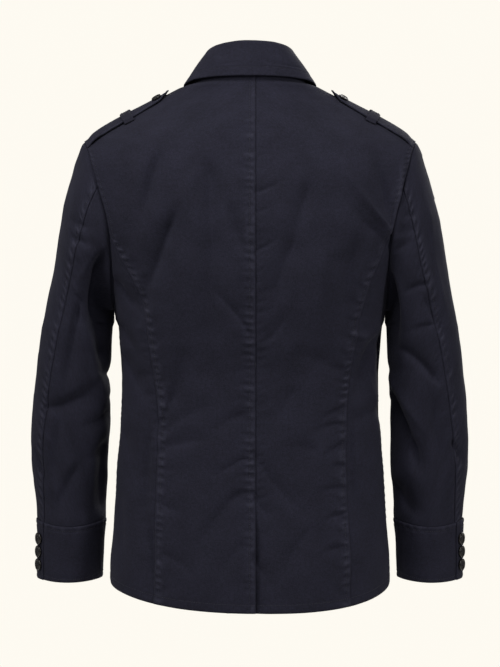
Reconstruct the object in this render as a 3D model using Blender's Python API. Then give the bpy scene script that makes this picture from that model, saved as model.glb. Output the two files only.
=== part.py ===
# Field jacket in worn, hollow form: a wall of cloth cut as real garment pieces.
# Millimetres in the tables and functions; metres from the moment a vertex is placed.
# +Z up, the jacket faces -Y, +X is the wearer's left.
# The origin is the middle of the neck, where the wearer's shoulders carry the jacket.

from math import asin, cos, pi, radians, sin

import bmesh
import bpy
from mathutils import Matrix, Vector

MM = 0.001
WALL = 1.6              # cloth with its seam allowances pressed flat
COLLAR_WALL = 2.0
CUFF_WALL = 2.2
SEAM_GAP = 0.3          # between two pieces that are sewn together
LAP_DEPTH = 2.3         # how far a tucked edge lies under the one that laps it

# ---- driving sizes
UNDERARM_Z = -310.0
SHOULDER_TIP_Z = -83.0
HEM_SIDE_Z = -679.5
HEM_DROP = {"back": 30.5, "front": 20.0}    # centre hems hang lower than the side seams
HEM_FADE_Z = -520.0
HEM_TILT = 2.4          # the back's left half hangs this much higher, the right lower
NECK_HALF_WIDTH = 75.0
NECK_SIDE_Z = -3.0
NECK_BACK_Z = 8.0
NECK_FRONT_Z = -75.0
FRONT_SAG = 67.0        # rows of the front tilt down to the low front neckline
FRONT_SAG_POWER = 2.4
BACK_LAP = 7.5          # centre-back lap edge, past the middle
SEAM_SHIFT = -3.0       # the back's seams sit a little towards the wearer's right
SEAM_SHIFT_RUN = 110.0
PRINCESS_TOP_Z = -208.0
VENT_TOP_Z = -559.0
VENT_UNDERLAP = 30.0
FRONT_LAP = 18.0
FRONT_UNDERLAP = 14.0
ARMHOLE_STATIONS = 11   # steps between shoulder tip and underarm, on each side
PRINCESS_STATION = 6    # where the princess seam runs into the armhole
SLEEVE_SEAM_STATION = 4         # where the sleeve's back seam starts
SLEEVE_FRONT_STATION = 7        # and its front seam

# Horizontal sections of the body: height, half width, depth of back and front, squareness
TORSO = {
    "columns": ("z", "width", "back", "front", "power"),
    "rows": (
        (-720, 190, 121, 128, 2.5),
        (-666, 190, 119, 127, 2.5),
        (-598, 185, 113, 123, 2.4),
        (-517, 180, 106, 119, 2.35),
        (-435, 174.5, 103, 118, 2.3),
        (-408, 174, 104, 119, 2.3),
        (-354, 177.5, 113, 122, 2.3),
        (-310, 183, 121, 125, 2.3),
        (-260, 194, 126, 125, 2.3),
        (-205, 210, 126, 121, 2.3),
        (-150, 230, 118, 112, 2.2),
        (-117, 239, 109, 103, 2.1),
        (-100, 237, 103.5, 97, 1.98),
        (-90, 231.5, 100.5, 93, 1.9),
        (-83, 225, 98, 90, 1.85),
        (-77, 217, 96, 86, 1.75),
        (-69, 206, 93, 81, 1.65),
        (-58.5, 188.5, 89, 75, 1.55),
        (-44.5, 162, 82, 65, 1.5),
        (-32.2, 137.6, 76, 56, 1.5),
        (-25, 123.8, 72, 50, 1.55),
        (-19.3, 111, 69, 46, 1.65),
        (-15, 103, 67, 43, 1.75),
        (-10, 93, 65.5, 41, 1.9),
        (-3, 75, 62.5, 39, 2.0),
        (8, 75, 60, 38, 2.0),
    ),
}

# The princess seam and the two halves of the armhole, as distance from the middle
PRINCESS = {
    "columns": ("z", "x"),
    "rows": (
        (-720, 131), (-600, 128), (-486, 126), (-444, 126), (-400, 131), (-358, 137),
        (-331, 141.5), (-301, 150), (-272, 160), (-240, 174.5), (-208, 187), (-190, 190),
    ),
}
ARMHOLE = {
    "columns": ("z", "back", "front"),
    "rows": (
        (-310, 183, 183), (-282, 184, 180.5), (-247, 184.2, 175), (-219, 186, 174.5),
        (-189, 190.5, 178.5), (-148, 202.5, 191), (-117, 212, 205), (-98, 217.5, 214),
        (-83, 225, 225),
    ),
}

# Sleeve below the underarm: height, outer and inner edge, how far forward, half depth
SLEEVE = {
    "columns": ("z", "outer", "inner", "middle", "depth"),
    "rows": (
        (-690, 290.5, 203, -28, 46),
        (-653, 290.5, 201.5, -26, 46),
        (-625, 290, 200, -24, 46),
        (-598, 291, 197.5, -22, 47),
        (-571, 293, 196, -20, 48.5),
        (-544, 296, 193.5, -17.5, 50),
        (-517, 298.5, 191.8, -15, 51),
        (-489, 298.3, 191, -12.5, 52.5),
        (-462, 296.7, 189.6, -10, 54),
        (-435, 295, 189, -8, 55.5),
        (-408, 292, 189, -6, 57),
        (-394, 290.5, 190, -5, 57.5),
        (-381, 289, 187.9, -4.5, 58.5),
        (-367, 287.3, 186.6, -4, 59.5),
        (-335, 283, 184.4, -3, 62),
    ),
}
SLEEVE_RING_Z = -335.0          # first level ring of the sleeve
HEAD_START = (0.40, 0.22, -0.80)        # how the sleeve head leaves the armhole
HEAD_END = (0.23, -0.03, -1.05)         # and how it arrives at the level ring
HEAD_CLEAR = 0.7                # how far outside the armhole the head starts
HEAD_CLEAR_TOP = 1.3            # and how much further at the shoulder tip
HEAD_CLEAR_BACK = 0.25
BACK_SEAM = {"columns": ("z", "turn"), "rows": (
    (-605, 0.232), (-567, 0.246), (-486, 0.281), (-335, 0.352))}
CUFF_TOP_Z = -596.0
CUFF_TOP_DIP = 9.0              # lower at the back and front than at the sides
CUFF_BOTTOM_Z = -677.0
CUFF_BOTTOM_DIP = 4.0
CUFF_PROUD = 1.0
CUFF_GIRTH = 290.0
CUFF_LAP_TURN = 0.232           # where the band's ends meet, in half turns from outside

# Collar: sections of the rings round the neck
STAND_WIDTH = 52.5
STAND_BACK_Y = 49.0
STAND_FRONT_Y = -82.0
ROLL_BACK_Z = 42.3
ROLL_SIDE_DROP = 8.0
ROLL_FRONT_DROP = 84.0
ROLL_RADIUS = 3.6
ROLL_SHARE = 0.16               # share of the fall's rows that go over the roll
ROLL_BEND = 0.86                # how far it bends there, in half turns
FALL_WIDTH = 89.5
FALL_SIDE_Y = -8.0
FALL_BACK_Y = 69.0
FALL_FRONT_Y = -112.0
FALL_BACK_Z = -1.0
FALL_SIDE_DROP = 6.0
FALL_FRONT_DROP = 98.0
STAND_GAP = 0.8                 # clears the bend of the neckline at the shoulder seam
STAND_END = 0.965               # share of the half ring that the stand covers
ROLL_GAP = 0.4                  # between the stand's top edge and the fall
FALL_BELLY = 0.6
FALL_END = 0.86                 # outer edge of the fall, at the collar point
NECK_MIDDLE_Y = -10.0           # centre of the stand's top ring
NECK_FRONT_POWER = 1.5

# Shoulder strap, its keeper and the buttons
STRAP = {"columns": ("x", "half_width", "centre", "lift"), "rows": (
    (111, 1.2, 4, 4.6), (116, 10, 4, 4.2), (123, 19, 4, 3.4), (138, 22, 4.5, 3.0),
    (162, 25, 6, 2.8), (188, 27, 7.5, 2.8), (206, 28, 8.5, 2.8), (226, 28.5, 9, 2.9))}
STRAP_COLUMNS = (0, 0.11, 0.23, 0.34, 0.46, 0.57, 0.69, 0.8, 0.87, 0.92, 0.96, 1.0)
STRAP_END_CURVE = 4.5
STRAP_TIP_X = 111.0
STRAP_LOWEST_Z = -101.0
STRAP_ROOT_X = 222.0
KEEPER_X = 168.0
KEEPER_WIDTH = 13.0
KEEPER_REACH = 31.0
KEEPER_LEAN = 7.0
KEEPER_LIFT = 2.7
KEEPER_COLUMNS = (0, 0.07, 0.14, 0.26, 0.4, 0.5, 0.6, 0.74, 0.86, 0.93, 1.0)
BUTTONS = {
    "cuff": {"radius": 8.3, "height": 3.4, "stand_off": 0.5},
    "front": {"radius": 10.0, "height": 3.6, "stand_off": 0.5},
    "strap": {"radius": 7.0, "height": 2.6, "stand_off": 0.4},
}
CUFF_BUTTON_TURN = 0.165
CUFF_BUTTON_Z = (-622.5, -640.0, -657.5)
FRONT_BUTTON_Z = (-102.0, -212.0, -322.0, -432.0, -542.0)
STRAP_BUTTON_X = 124.5
STRAP_BUTTON_BACK = 9.0        # its middle lies behind the strap's
BUTTON_SIDES = 16
BUTTON_FOOT = 0.86             # radius of the underside, as a share
BUTTON_RIM = 0.24              # width of the rim round the dish, as a share
BUTTON_DISH = 0.9

# The largest folds: a soft trough or ridge from one point to another, in the view
# straight on to the panel; depth is negative for a trough
FOLD_COLUMNS = ("x0", "z0", "x1", "z1", "width", "depth")
BACK_FOLDS = {"columns": FOLD_COLUMNS, "rows": (
    (104, -184, 134, -290, 20, -3.0),
    (62, -215, 60, -480, 24, -2.4),
    (67, -123, 16, -223, 20, -1.8),
    (-58, -148, -60, -226, 22, -2.0),
    (-50, -238, -52, -316, 20, -2.0),
    (7, -537, 74, -630, 24, -2.4),
    (-96, -190, -130, -280, 20, -2.2),
    (96, -410, 40, -425, 22, -1.6),
    (-92, -420, -36, -408, 22, -1.6),
)}
FRONT_FOLDS = {"columns": FOLD_COLUMNS, "rows": (
    (110, -190, 140, -285, 22, -2.8),
    (-106, -185, -138, -292, 22, -2.6),
    (84, -300, 70, -470, 26, -2.2),
    (-80, -310, -72, -450, 26, -2.2),
    (60, -560, 100, -640, 24, -2.0),
    (-64, -540, -96, -640, 24, -2.0),
)}
# on a sleeve x0 and x1 are half turns from the outside (0), over the back (0.5)
# and the underarm (1) to the front (1.5)
SLEEVE_FOLDS = {
    "left": {"columns": FOLD_COLUMNS, "rows": (
        (0.62, -236, 0.42, -272, 17, -4.5), (0.42, -272, 0.55, -350, 16, -3.5),
        (0.88, -394, 0.22, -428, 13, -4.5), (0.86, -420, 0.24, -458, 13, -3.0),
        (1.10, -300, 1.50, -262, 17, -3.5), (1.12, -392, 1.70, -420, 14, -4.0),
        (0.80, -500, 0.55, -560, 16, -2.5), (1.20, -470, 1.62, -500, 15, -2.5),
    )},
    "right": {"columns": FOLD_COLUMNS, "rows": (
        (0.66, -262, 0.52, -352, 16, -4.5), (0.90, -376, 0.34, -396, 13, -3.5),
        (0.88, -412, 0.40, -486, 14, -5.0), (0.62, -222, 0.38, -218, 13, -2.5),
        (1.10, -304, 1.48, -266, 17, -3.5), (1.12, -398, 1.68, -436, 14, -4.0),
        (0.82, -520, 0.58, -566, 16, -2.0), (1.18, -476, 1.60, -508, 15, -2.5),
    )},
}
HALF_GIRTH = 160.0              # millimetres to a half turn, where folds are laid out

NAVY = (0.024, 0.025, 0.038, 1.0)
HORN = (0.028, 0.020, 0.017, 1.0)


class Curve:
    """A smooth line through (station, value) pairs that never overshoots them."""

    def __init__(self, stations, values):
        self.stations = stations
        self.values = values
        steps = [b - a for a, b in zip(stations, stations[1:])]
        rises = [(b - a) / step for a, b, step in zip(values, values[1:], steps)]
        self.slopes = [rises[0]]
        for before, after in zip(rises, rises[1:]):
            turning = before * after <= 0
            self.slopes.append(0.0 if turning else 2 * before * after / (before + after))
        self.slopes.append(rises[-1])

    def __call__(self, at):
        last = len(self.stations) - 2
        i = 0
        while i < last and at > self.stations[i + 1]:
            i += 1
        step = self.stations[i + 1] - self.stations[i]
        t = min(max((at - self.stations[i]) / step, 0.0), 1.0)
        return hermite(self.values[i], self.slopes[i] * step,
                       self.values[i + 1], self.slopes[i + 1] * step, t)


def hermite(start, leave, end, arrive, t):
    t2, t3 = t * t, t * t * t
    return (start * (2 * t3 - 3 * t2 + 1) + leave * (t3 - 2 * t2 + t)
            + end * (3 * t2 - 2 * t3) + arrive * (t3 - t2))


def curves(table):
    columns = list(zip(*table["rows"]))
    return {name: Curve(columns[0], column)
            for name, column in zip(table["columns"][1:], columns[1:])}


torsoCurves = curves(TORSO)
princessCurve = curves(PRINCESS)["x"]
armholeCurves = curves(ARMHOLE)
sleeveCurves = curves(SLEEVE)
backSeamCurve = curves(BACK_SEAM)["turn"]
strapCurves = curves(STRAP)


def lerp(a, b, t):
    return a + (b - a) * t


def ease(t):
    t = min(max(t, 0.0), 1.0)
    return t * t * (3 - 2 * t)


def fold_depth(folds, x, z):
    """Sum of the troughs and ridges at one place, each fading out at its ends."""
    total = 0.0
    for x0, z0, x1, z1, width, depth in folds["rows"]:
        run = (x1 - x0) ** 2 + (z1 - z0) ** 2
        t = min(max(((x - x0) * (x1 - x0) + (z - z0) * (z1 - z0)) / run, 0.0), 1.0)
        away = (x - lerp(x0, x1, t)) ** 2 + (z - lerp(z0, z1, t)) ** 2
        total += depth * sin(pi * lerp(0.12, 0.88, t)) / (1 + away / width ** 2) ** 2
    return total


# ---- body

def body_point(angle, z, facing):
    """On the section at height z; angle is 0 at the middle and a quarter turn at the side."""
    power = torsoCurves["power"](z)
    across = abs(sin(angle)) ** (2 / power) * torsoCurves["width"](z)
    out = max(cos(angle), 0.0) ** (2 / power) * torsoCurves[facing](z)
    x = across if angle >= 0 else -across
    return Vector((x, out if facing == "back" else -out, z))


def angle_at(x, z):
    share = min(x / torsoCurves["width"](z), 1.0)
    return asin(share ** (torsoCurves["power"](z) / 2))


def neck_angle(q, facing):
    """Angle round the neck, 0 at the back and a half turn at the front."""
    return q * pi / 2 if facing == "back" else pi - q * pi / 2


def neck_height(turn):
    if turn <= pi / 2:
        return lerp(NECK_SIDE_Z, NECK_BACK_Z, cos(turn))
    return lerp(NECK_SIDE_Z, NECK_FRONT_Z, max(-cos(turn), 0.0) ** NECK_FRONT_POWER)


def armhole_z(t):
    """t runs from 0 at the shoulder tip to 1 at the underarm."""
    return lerp(SHOULDER_TIP_Z, UNDERARM_Z, (1 - cos(pi * t)) / 2)


def armhole_angle(t, facing):
    z = armhole_z(t)
    if t <= 0 or t >= 1:
        return pi / 2
    return angle_at(armholeCurves[facing](z), z)


def row_level(v):
    """Height of a row's outer end: 0 hem, 1 underarm, 2 shoulder tip, 3 neck."""
    if v <= 1:
        return lerp(HEM_SIDE_Z, UNDERARM_Z, v)
    if v <= 2:
        return armhole_z(2 - v)
    return lerp(SHOULDER_TIP_Z, NECK_SIDE_Z, v - 2)


def row_height(v, angle, facing, side, share=1.0):
    """Height of a row at one angle; share is 0 at the middle and 1 at the outer edge."""
    level = row_level(min(v, 2))
    if v <= 1:
        middle = max(cos(angle), 0.0)
        fade = max((HEM_FADE_Z - level) / (HEM_FADE_Z - HEM_SIDE_Z), 0.0) ** 1.5
        tilt = HEM_TILT * side * sin(2 * angle) if facing == "back" else 0.0
        return level + (tilt - HEM_DROP[facing] * middle ** 1.4) * fade
    if facing == "front":
        rise = ease((level - UNDERARM_Z) / (SHOULDER_TIP_Z - UNDERARM_Z))
        return level - FRONT_SAG * rise * max(cos(share * pi / 2), 0.0) ** FRONT_SAG_POWER
    return level


def princess_angle(v, side):
    z = row_level(v)
    shift = side * SEAM_SHIFT * ease((PRINCESS_TOP_Z - z) / SEAM_SHIFT_RUN)
    return angle_at(princessCurve(z) + shift, z)


def outer_angle(v, side, facing):
    junction = 2 - PRINCESS_STATION / ARMHOLE_STATIONS
    if facing == "back" and v <= junction:
        return princess_angle(v, side)
    if v <= 1 or v >= 2:
        return pi / 2
    return armhole_angle(2 - v, facing)


def row_angle(share, outer):
    """Spread a row's points so that only those near its outer end give way to the armhole."""
    short = pi / 2 - outer
    power = min(max(0.6 * pi / 2 / short, 1.0), 4.0) if short > 0 else 1.0
    return share * pi / 2 - short * share ** power


def panel_place(q, v, side, facing):
    """A point of a centre panel; q is 0 at the middle and 1 at the panel's outer edge."""
    share = abs(q)
    if v <= 2:
        angle = row_angle(share, outer_angle(v, side, facing))
        place = body_point(angle, row_height(v, angle, facing, side, share), facing)
    else:
        rise = v - 2
        turn = neck_angle(share, facing)
        neck_z = neck_height(turn)
        neck = angle_at(NECK_HALF_WIDTH * sin(turn), neck_z) if share < 1 else pi / 2
        angle = lerp(share * pi / 2, neck, rise)
        z = lerp(row_height(2, share * pi / 2, facing, side, share), neck_z, rise)
        place = body_point(angle, z, facing)
    if q < 0:
        place.x = -place.x
    return place


def q_at(x, v, side, facing):
    """Where a row of a centre panel crosses x, by halving."""
    low, high = 0.0, 0.6
    for _ in range(22):
        middle = (low + high) / 2
        if panel_place(middle, v, side, facing).x < abs(x):
            low = middle
        else:
            high = middle
    return low if x >= 0 else -low


def inset(u, length, start=SEAM_GAP / 2, end=SEAM_GAP / 2):
    """Draw a row in from both ends, so that its neighbours stay a seam's gap away."""
    return lerp(start / length, 1 - end / length, u)


# ---- cloth solids

def cloth(name, columns, rows, skin, keep=None, wall=WALL, material=None):
    """A closed wall on a grid; skin(u, v) gives an outer point and its outward normal."""
    mesh = bmesh.new()
    bmesh.ops.create_grid(mesh, x_segments=len(columns) - 1, y_segments=len(rows) - 1, size=0.5)
    places = {}
    for vert in mesh.verts:
        i = round((vert.co.x + 0.5) * (len(columns) - 1))
        j = round((vert.co.y + 0.5) * (len(rows) - 1))
        places[(i, j)] = skin(columns[i], rows[j])
        vert.co = (i, j, 0)
    if keep:
        spare = [face for face in mesh.faces
                 if not keep(round(face.calc_center_median().x - 0.5),
                             round(face.calc_center_median().y - 0.5))]
        bmesh.ops.delete(mesh, geom=spare, context="FACES")
    inner = bmesh.ops.extrude_face_region(mesh, geom=mesh.faces[:], use_keep_orig=True)
    innerVerts = {item for item in inner["geom"] if isinstance(item, bmesh.types.BMVert)}
    for vert in mesh.verts:
        place, normal = places[(round(vert.co.x), round(vert.co.y))]
        vert.co = (place - normal * (wall if vert in innerVerts else 0.0)) * MM
    bmesh.ops.recalc_face_normals(mesh, faces=mesh.faces)
    if mesh.calc_volume(signed=True) < 0:
        bmesh.ops.reverse_faces(mesh, faces=mesh.faces)
    bmesh.ops.triangulate(mesh, faces=mesh.faces)
    add_object(name, mesh, material)


def add_object(name, mesh, material):
    data = bpy.data.meshes.new(name)
    mesh.to_mesh(data)
    mesh.free()
    data.shade_smooth()
    data.set_sharp_from_angle(angle=radians(35))
    data.materials.append(material)
    piece = bpy.data.objects.new(name, data)
    bpy.context.scene.collection.objects.link(piece)
    return piece


def make_material(name, colour, roughness):
    material = bpy.data.materials.new(name)
    material.use_nodes = True
    shader = material.node_tree.nodes["Principled BSDF"]
    shader.inputs["Base Color"].default_value = colour
    shader.inputs["Roughness"].default_value = roughness
    shader.inputs["Metallic"].default_value = 0.0
    return material


def spread(count, start=0.0, end=1.0):
    return [lerp(start, end, i / count) for i in range(count + 1)]


def body_rows(last):
    lower = spread(9)
    armhole = [1 + k / ARMHOLE_STATIONS for k in range(1, ARMHOLE_STATIONS + 1)]
    return [v for v in lower + armhole + spread(5, 2, 3)[1:] if v <= last + 1e-6]


def side_name(side):
    return "left" if side > 0 else "right"


def flip(place, side):
    return Vector((place.x * side, place.y, place.z))


def panel_skin(side, facing, lap, underlap, lap_top, folds):
    """Skin of a centre panel. The left one runs past the middle by the lap; the right one
    stops there and, below lap_top, goes on beneath the left one."""
    start_x = -lap if side > 0 else lap
    starts = {}

    def place_at(u, v):
        if v not in starts:
            starts[v] = q_at(start_x, v, side, facing)
        start = starts[v]
        length = (panel_place(1, v, side, facing) - panel_place(start, v, side, facing)).length
        if u >= 0:
            q = lerp(start, 1, inset(u, length * 1.08))
        else:
            q = lerp(start, q_at(-underlap, v, side, facing), -u)
        return panel_place(q, v, side, facing)

    def skin(u, v):
        edge = u if u >= 0 else 0.0
        tucked = side < 0 and u <= 0 and row_level(v) < lap_top
        place = place_at(u, v)
        near = min(max(edge, 0.004), 0.996)
        below, above = max(v - 0.002, 0.0), min(v + 0.002, 3.0)
        along = place_at(near + 0.003, v) - place_at(near - 0.003, v)
        up = place_at(near, above) - place_at(near, below)
        normal = along.cross(up).normalized()
        if normal.y * place.y < 0:
            normal = -normal
        if u == 1 and (v >= 2 or v <= 1 and facing == "front"):
            normal = Vector((normal.x, 0, normal.z)).normalized()
        world = flip(place, side)
        offset = fold_depth(folds, world.x, world.z) - (LAP_DEPTH if tucked else 0.0)
        normal = flip(normal, side)
        return world + normal * offset, normal

    return skin


def make_panels(material):
    for side in (1, -1):
        rows = body_rows(3)
        columns = spread(10)
        keep = None
        if side < 0:
            columns = [-1.0, -0.5, 0.0, 0.028] + spread(10)[1:]
            keep = vent_cells(rows)
        skin = panel_skin(side, "back", BACK_LAP, VENT_UNDERLAP, VENT_TOP_Z, BACK_FOLDS)
        cloth("back_" + side_name(side), columns, rows, skin, keep, material=material)
        make_side_back(side, material)
        columns = spread(10)
        if side < 0:
            columns = [-1.0, 0.0, 0.03] + spread(10)[1:]
        skin = panel_skin(side, "front", FRONT_LAP, FRONT_UNDERLAP, NECK_BACK_Z, FRONT_FOLDS)
        cloth("front_" + side_name(side), columns, rows, skin, material=material)


def vent_cells(rows):
    """Above the vent the right back has no underlap."""
    return lambda i, j: i > 1 or row_level(rows[j + 1]) < VENT_TOP_Z + 1


def make_side_back(side, material):
    top = 2 - PRINCESS_STATION / ARMHOLE_STATIONS

    def place_at(u, v):
        start = princess_angle(v, side)
        end = pi / 2 if v <= 1 else armhole_angle(2 - v, "back")
        ends = [body_point(a, row_height(v, a, "back", side), "back") for a in (start, end)]
        length = max((ends[1] - ends[0]).length, 4 * SEAM_GAP)
        angle = lerp(start, end, inset(u, length * 1.05))
        return body_point(angle, row_height(v, angle, "back", side), "back")

    def skin(u, v):
        near = min(max(u, 0.01), 0.99)
        place = place_at(u, v)
        along = place_at(near + 0.008, v) - place_at(near - 0.008, v)
        up = place_at(near, min(v + 0.002, top)) - place_at(near, max(v - 0.002, 0.0))
        normal = along.cross(up).normalized()
        if normal.x < 0:
            normal = -normal
        if u == 1 and v <= 1:
            normal = Vector((normal.x, 0, normal.z)).normalized()
        world, normal = flip(place, side), flip(normal, side)
        return world + normal * fold_depth(BACK_FOLDS, world.x, world.z), normal

    rows = body_rows(top)
    rows[-1] = lerp(rows[-2], rows[-1], 0.86)
    cloth("side_back_" + side_name(side), spread(4), rows, skin, material=material)


# ---- sleeves and cuffs; turn is in half turns: 0 outside, 0.5 back, 1 inside, 1.5 front

def sleeve_ring(turn, z):
    outer, inner = sleeveCurves["outer"](z), sleeveCurves["inner"](z)
    x = (outer + inner) / 2 + (outer - inner) / 2 * cos(turn * pi)
    y = sleeveCurves["middle"](z) + sleeveCurves["depth"](z) * sin(turn * pi)
    return Vector((x, y, z))


def armhole_place(turn):
    facing = "back" if turn <= 1 else "front"
    t = turn if turn <= 1 else 2 - turn
    z = armhole_z(t)
    return body_point(armhole_angle(t, facing), z, facing)


def sleeve_bottom(turn):
    return CUFF_TOP_Z - CUFF_TOP_DIP * sin(turn * pi) ** 2


def sleeve_place(turn, s):
    """s runs from 0 at the armhole to 1 at the level ring and 2 at the cuff seam."""
    turn = turn % 2
    if s <= 1:
        start, end = armhole_place(turn), sleeve_ring(turn, SLEEVE_RING_Z)
        reach = (end - start).length
        leave = Vector((HEAD_START[0], HEAD_START[1] * sin(turn * pi), HEAD_START[2])) * reach
        arrive = Vector(HEAD_END) * reach
        clear = Vector((HEAD_CLEAR + HEAD_CLEAR_TOP * max(cos(turn * pi), 0.0) ** 2,
                        HEAD_CLEAR_BACK * sin(turn * pi), 0.0))
        return hermite(start + clear, leave, end, arrive, s)
    z = lerp(SLEEVE_RING_Z, sleeve_bottom(turn) + SEAM_GAP, s - 1)
    return sleeve_ring(turn, z)


def ring_normal(place_at, turn, s, low=0.0, high=2.0):
    step = 0.004
    round_it = place_at(turn + step, s) - place_at(turn - step, s)
    down = place_at(turn, min(s + step, high)) - place_at(turn, max(s - step, low))
    return down.cross(round_it).normalized()


def seam_turns(s):
    """Turn of the back seam and of the front seam at one place down the sleeve."""
    back = SLEEVE_SEAM_STATION / ARMHOLE_STATIONS
    if s > 1:
        back = backSeamCurve(lerp(SLEEVE_RING_Z, CUFF_TOP_Z, s - 1))
    else:
        back = lerp(back, backSeamCurve(SLEEVE_RING_Z), ease(s))
    return back, 2 - SLEEVE_FRONT_STATION / ARMHOLE_STATIONS


def make_sleeves(material):
    rows = spread(6) + spread(12, 1, 2)[1:]
    count = SLEEVE_SEAM_STATION + SLEEVE_FRONT_STATION
    for side in (1, -1):
        for name, top in (("top_sleeve_", True), ("under_sleeve_", False)):

            def skin(u, s, side=side, top=top, folds=SLEEVE_FOLDS[side_name(side)]):
                back, front = seam_turns(s)
                start, end = (front - 2, back) if top else (back, front)
                turn = lerp(start, end, inset(u, (end - start) * HALF_GIRTH))
                normal = ring_normal(sleeve_place, turn, s)
                place = sleeve_place(turn, s)
                quiet = ease(s / 0.35) * ease((2 - s) / 0.15)
                place += normal * fold_depth_round(folds, turn % 2, place.z) * quiet
                return flip(place, side), flip(normal, side)

            cloth(name + side_name(side), spread(count), rows, skin, material=material)


def fold_depth_round(folds, turn, z):
    """Folds of a sleeve: half turns are laid out as millimetres round the arm."""
    laid = [(x0 * HALF_GIRTH, z0, x1 * HALF_GIRTH, z1, width, depth)
            for x0, z0, x1, z1, width, depth in folds["rows"]]
    return fold_depth({"rows": laid}, turn * HALF_GIRTH, z)


def cuff_place(turn, s):
    turn = turn % 2
    dip = sin(turn * pi) ** 2
    top = CUFF_TOP_Z - CUFF_TOP_DIP * dip
    bottom = CUFF_BOTTOM_Z - CUFF_BOTTOM_DIP * dip
    z = lerp(top, bottom, s)
    return sleeve_ring(turn, z)


def cuff_skin(turn, s):
    normal = ring_normal(cuff_place, turn, s, 0.0, 1.0)
    return cuff_place(turn, s) + normal * CUFF_PROUD, normal


def make_cuffs(material):
    for side in (1, -1):
        def skin(u, s, side=side):
            turn = CUFF_LAP_TURN + 2 * inset(u, CUFF_GIRTH)
            place, normal = cuff_skin(turn, s)
            return flip(place, side), flip(normal, side)

        cloth("cuff_" + side_name(side), spread(24), spread(3), skin,
              wall=CUFF_WALL, material=material)


# ---- collar; turn is the angle round the neck, 0 at the back, half a turn at the front

def ring_point(turn, width, back_y, front_y, side_y, z):
    reach = back_y - side_y if cos(turn) > 0 else side_y - front_y
    return Vector((width * sin(turn), side_y + reach * cos(turn), z))


def neck_seam(turn):
    z = neck_height(abs(turn))
    facing = "back" if abs(turn) <= pi / 2 else "front"
    width = NECK_HALF_WIDTH * sin(abs(turn))
    place = body_point(angle_at(width, z), z, facing)
    return Vector((place.x if turn >= 0 else -place.x, place.y, z))


def front_share(turn):
    return max(-cos(turn), 0.0) ** NECK_FRONT_POWER


def roll_line(turn):
    side_drop = ROLL_SIDE_DROP * (1 - max(cos(turn), 0.0))
    z = ROLL_BACK_Z - side_drop - ROLL_FRONT_DROP * front_share(turn)
    return ring_point(turn, STAND_WIDTH, STAND_BACK_Y, STAND_FRONT_Y, NECK_MIDDLE_Y, z)


def fall_edge(turn):
    side_drop = FALL_SIDE_DROP * (1 - max(cos(turn), 0.0)) ** 2
    z = FALL_BACK_Z - side_drop - FALL_FRONT_DROP * front_share(turn) ** 0.9
    return ring_point(turn, FALL_WIDTH, FALL_BACK_Y, FALL_FRONT_Y, FALL_SIDE_Y, z)


def outward(turn):
    return Vector((sin(turn), cos(turn), 0)).normalized()


def stand_skin(u, s):
    turn = lerp(-pi, pi, u) * STAND_END
    base = neck_seam(turn)
    base.z += STAND_GAP
    top = roll_line(turn)
    place = lerp(base, top, s)
    lean = (top - base).normalized()
    round_it = Vector((cos(turn), -sin(turn), 0))
    normal = round_it.cross(lean).normalized()
    if normal.dot(outward(turn)) < 0:
        normal = -normal
    return place + normal * COLLAR_WALL / 2, normal


def fall_profile(turn, share, s):
    """Across the fall: up off the stand, over the roll, and down to the outer edge."""
    out = outward(turn)
    crown = roll_line(turn) + out * (ROLL_RADIUS - COLLAR_WALL / 2)
    crown.z += ROLL_GAP
    bend = pi * ROLL_BEND * min(s / ROLL_SHARE, 1.0)
    place = crown + (Vector((0, 0, sin(bend))) - out * cos(bend)) * ROLL_RADIUS
    if s > ROLL_SHARE:
        t = (s - ROLL_SHARE) / (1 - ROLL_SHARE)
        place = lerp(place, fall_edge(turn * share), t) + out * FALL_BELLY * sin(pi * t)
    return place


def fall_skin(u, s):
    def place_at(u, s):
        turn = lerp(-pi, pi, u) * STAND_END
        share = lerp(1.0, FALL_END, ease(abs(turn) / pi * 1.6 - 0.6))
        return fall_profile(turn, share, s)

    step = 0.004
    along = place_at(min(u + step, 1), s) - place_at(max(u - step, 0), s)
    across = place_at(u, min(s + step, 1)) - place_at(u, max(s - step, 0))
    return place_at(u, s), across.cross(along).normalized()


def make_collar(material):
    cloth("collar_stand", spread(38), spread(2), stand_skin,
          wall=COLLAR_WALL, material=material)
    rows = spread(4, 0, ROLL_SHARE) + spread(5, ROLL_SHARE, 1)[1:]
    cloth("collar_fall", spread(26), rows, fall_skin, wall=COLLAR_WALL, material=material)


# ---- shoulder straps, keepers, buttons

def shoulder_z(x, y):
    """Height of the body's top surface over a point of the shoulder, by halving."""
    facing = "back" if y >= 0 else "front"
    low, high = STRAP_LOWEST_Z, NECK_BACK_Z
    for _ in range(40):
        z = (low + high) / 2
        power = torsoCurves["power"](z)
        inside = ((x / torsoCurves["width"](z)) ** power
                  + (abs(y) / torsoCurves[facing](z)) ** power)
        if inside < 1:
            low = z
        else:
            high = z
    return low


def shoulder_skin(x, y, lift):
    step = 1.5
    slope_x = (shoulder_z(x + step, y) - shoulder_z(x - step, y)) / (2 * step)
    slope_y = (shoulder_z(x, y + step) - shoulder_z(x, y - step)) / (2 * step)
    normal = Vector((-slope_x, -slope_y, 1)).normalized()
    return Vector((x, y, shoulder_z(x, y))) + normal * lift, normal


def strap_skin(u, w):
    """u runs from the armhole to the point, w across from front to back."""
    across = lerp(-1, 1, w)
    x = lerp(STRAP_ROOT_X - STRAP_END_CURVE * across ** 2 * (1 - u), STRAP_TIP_X, u)
    y = strapCurves["centre"](x) + strapCurves["half_width"](x) * across
    return shoulder_skin(x, y, strapCurves["lift"](x))


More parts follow.
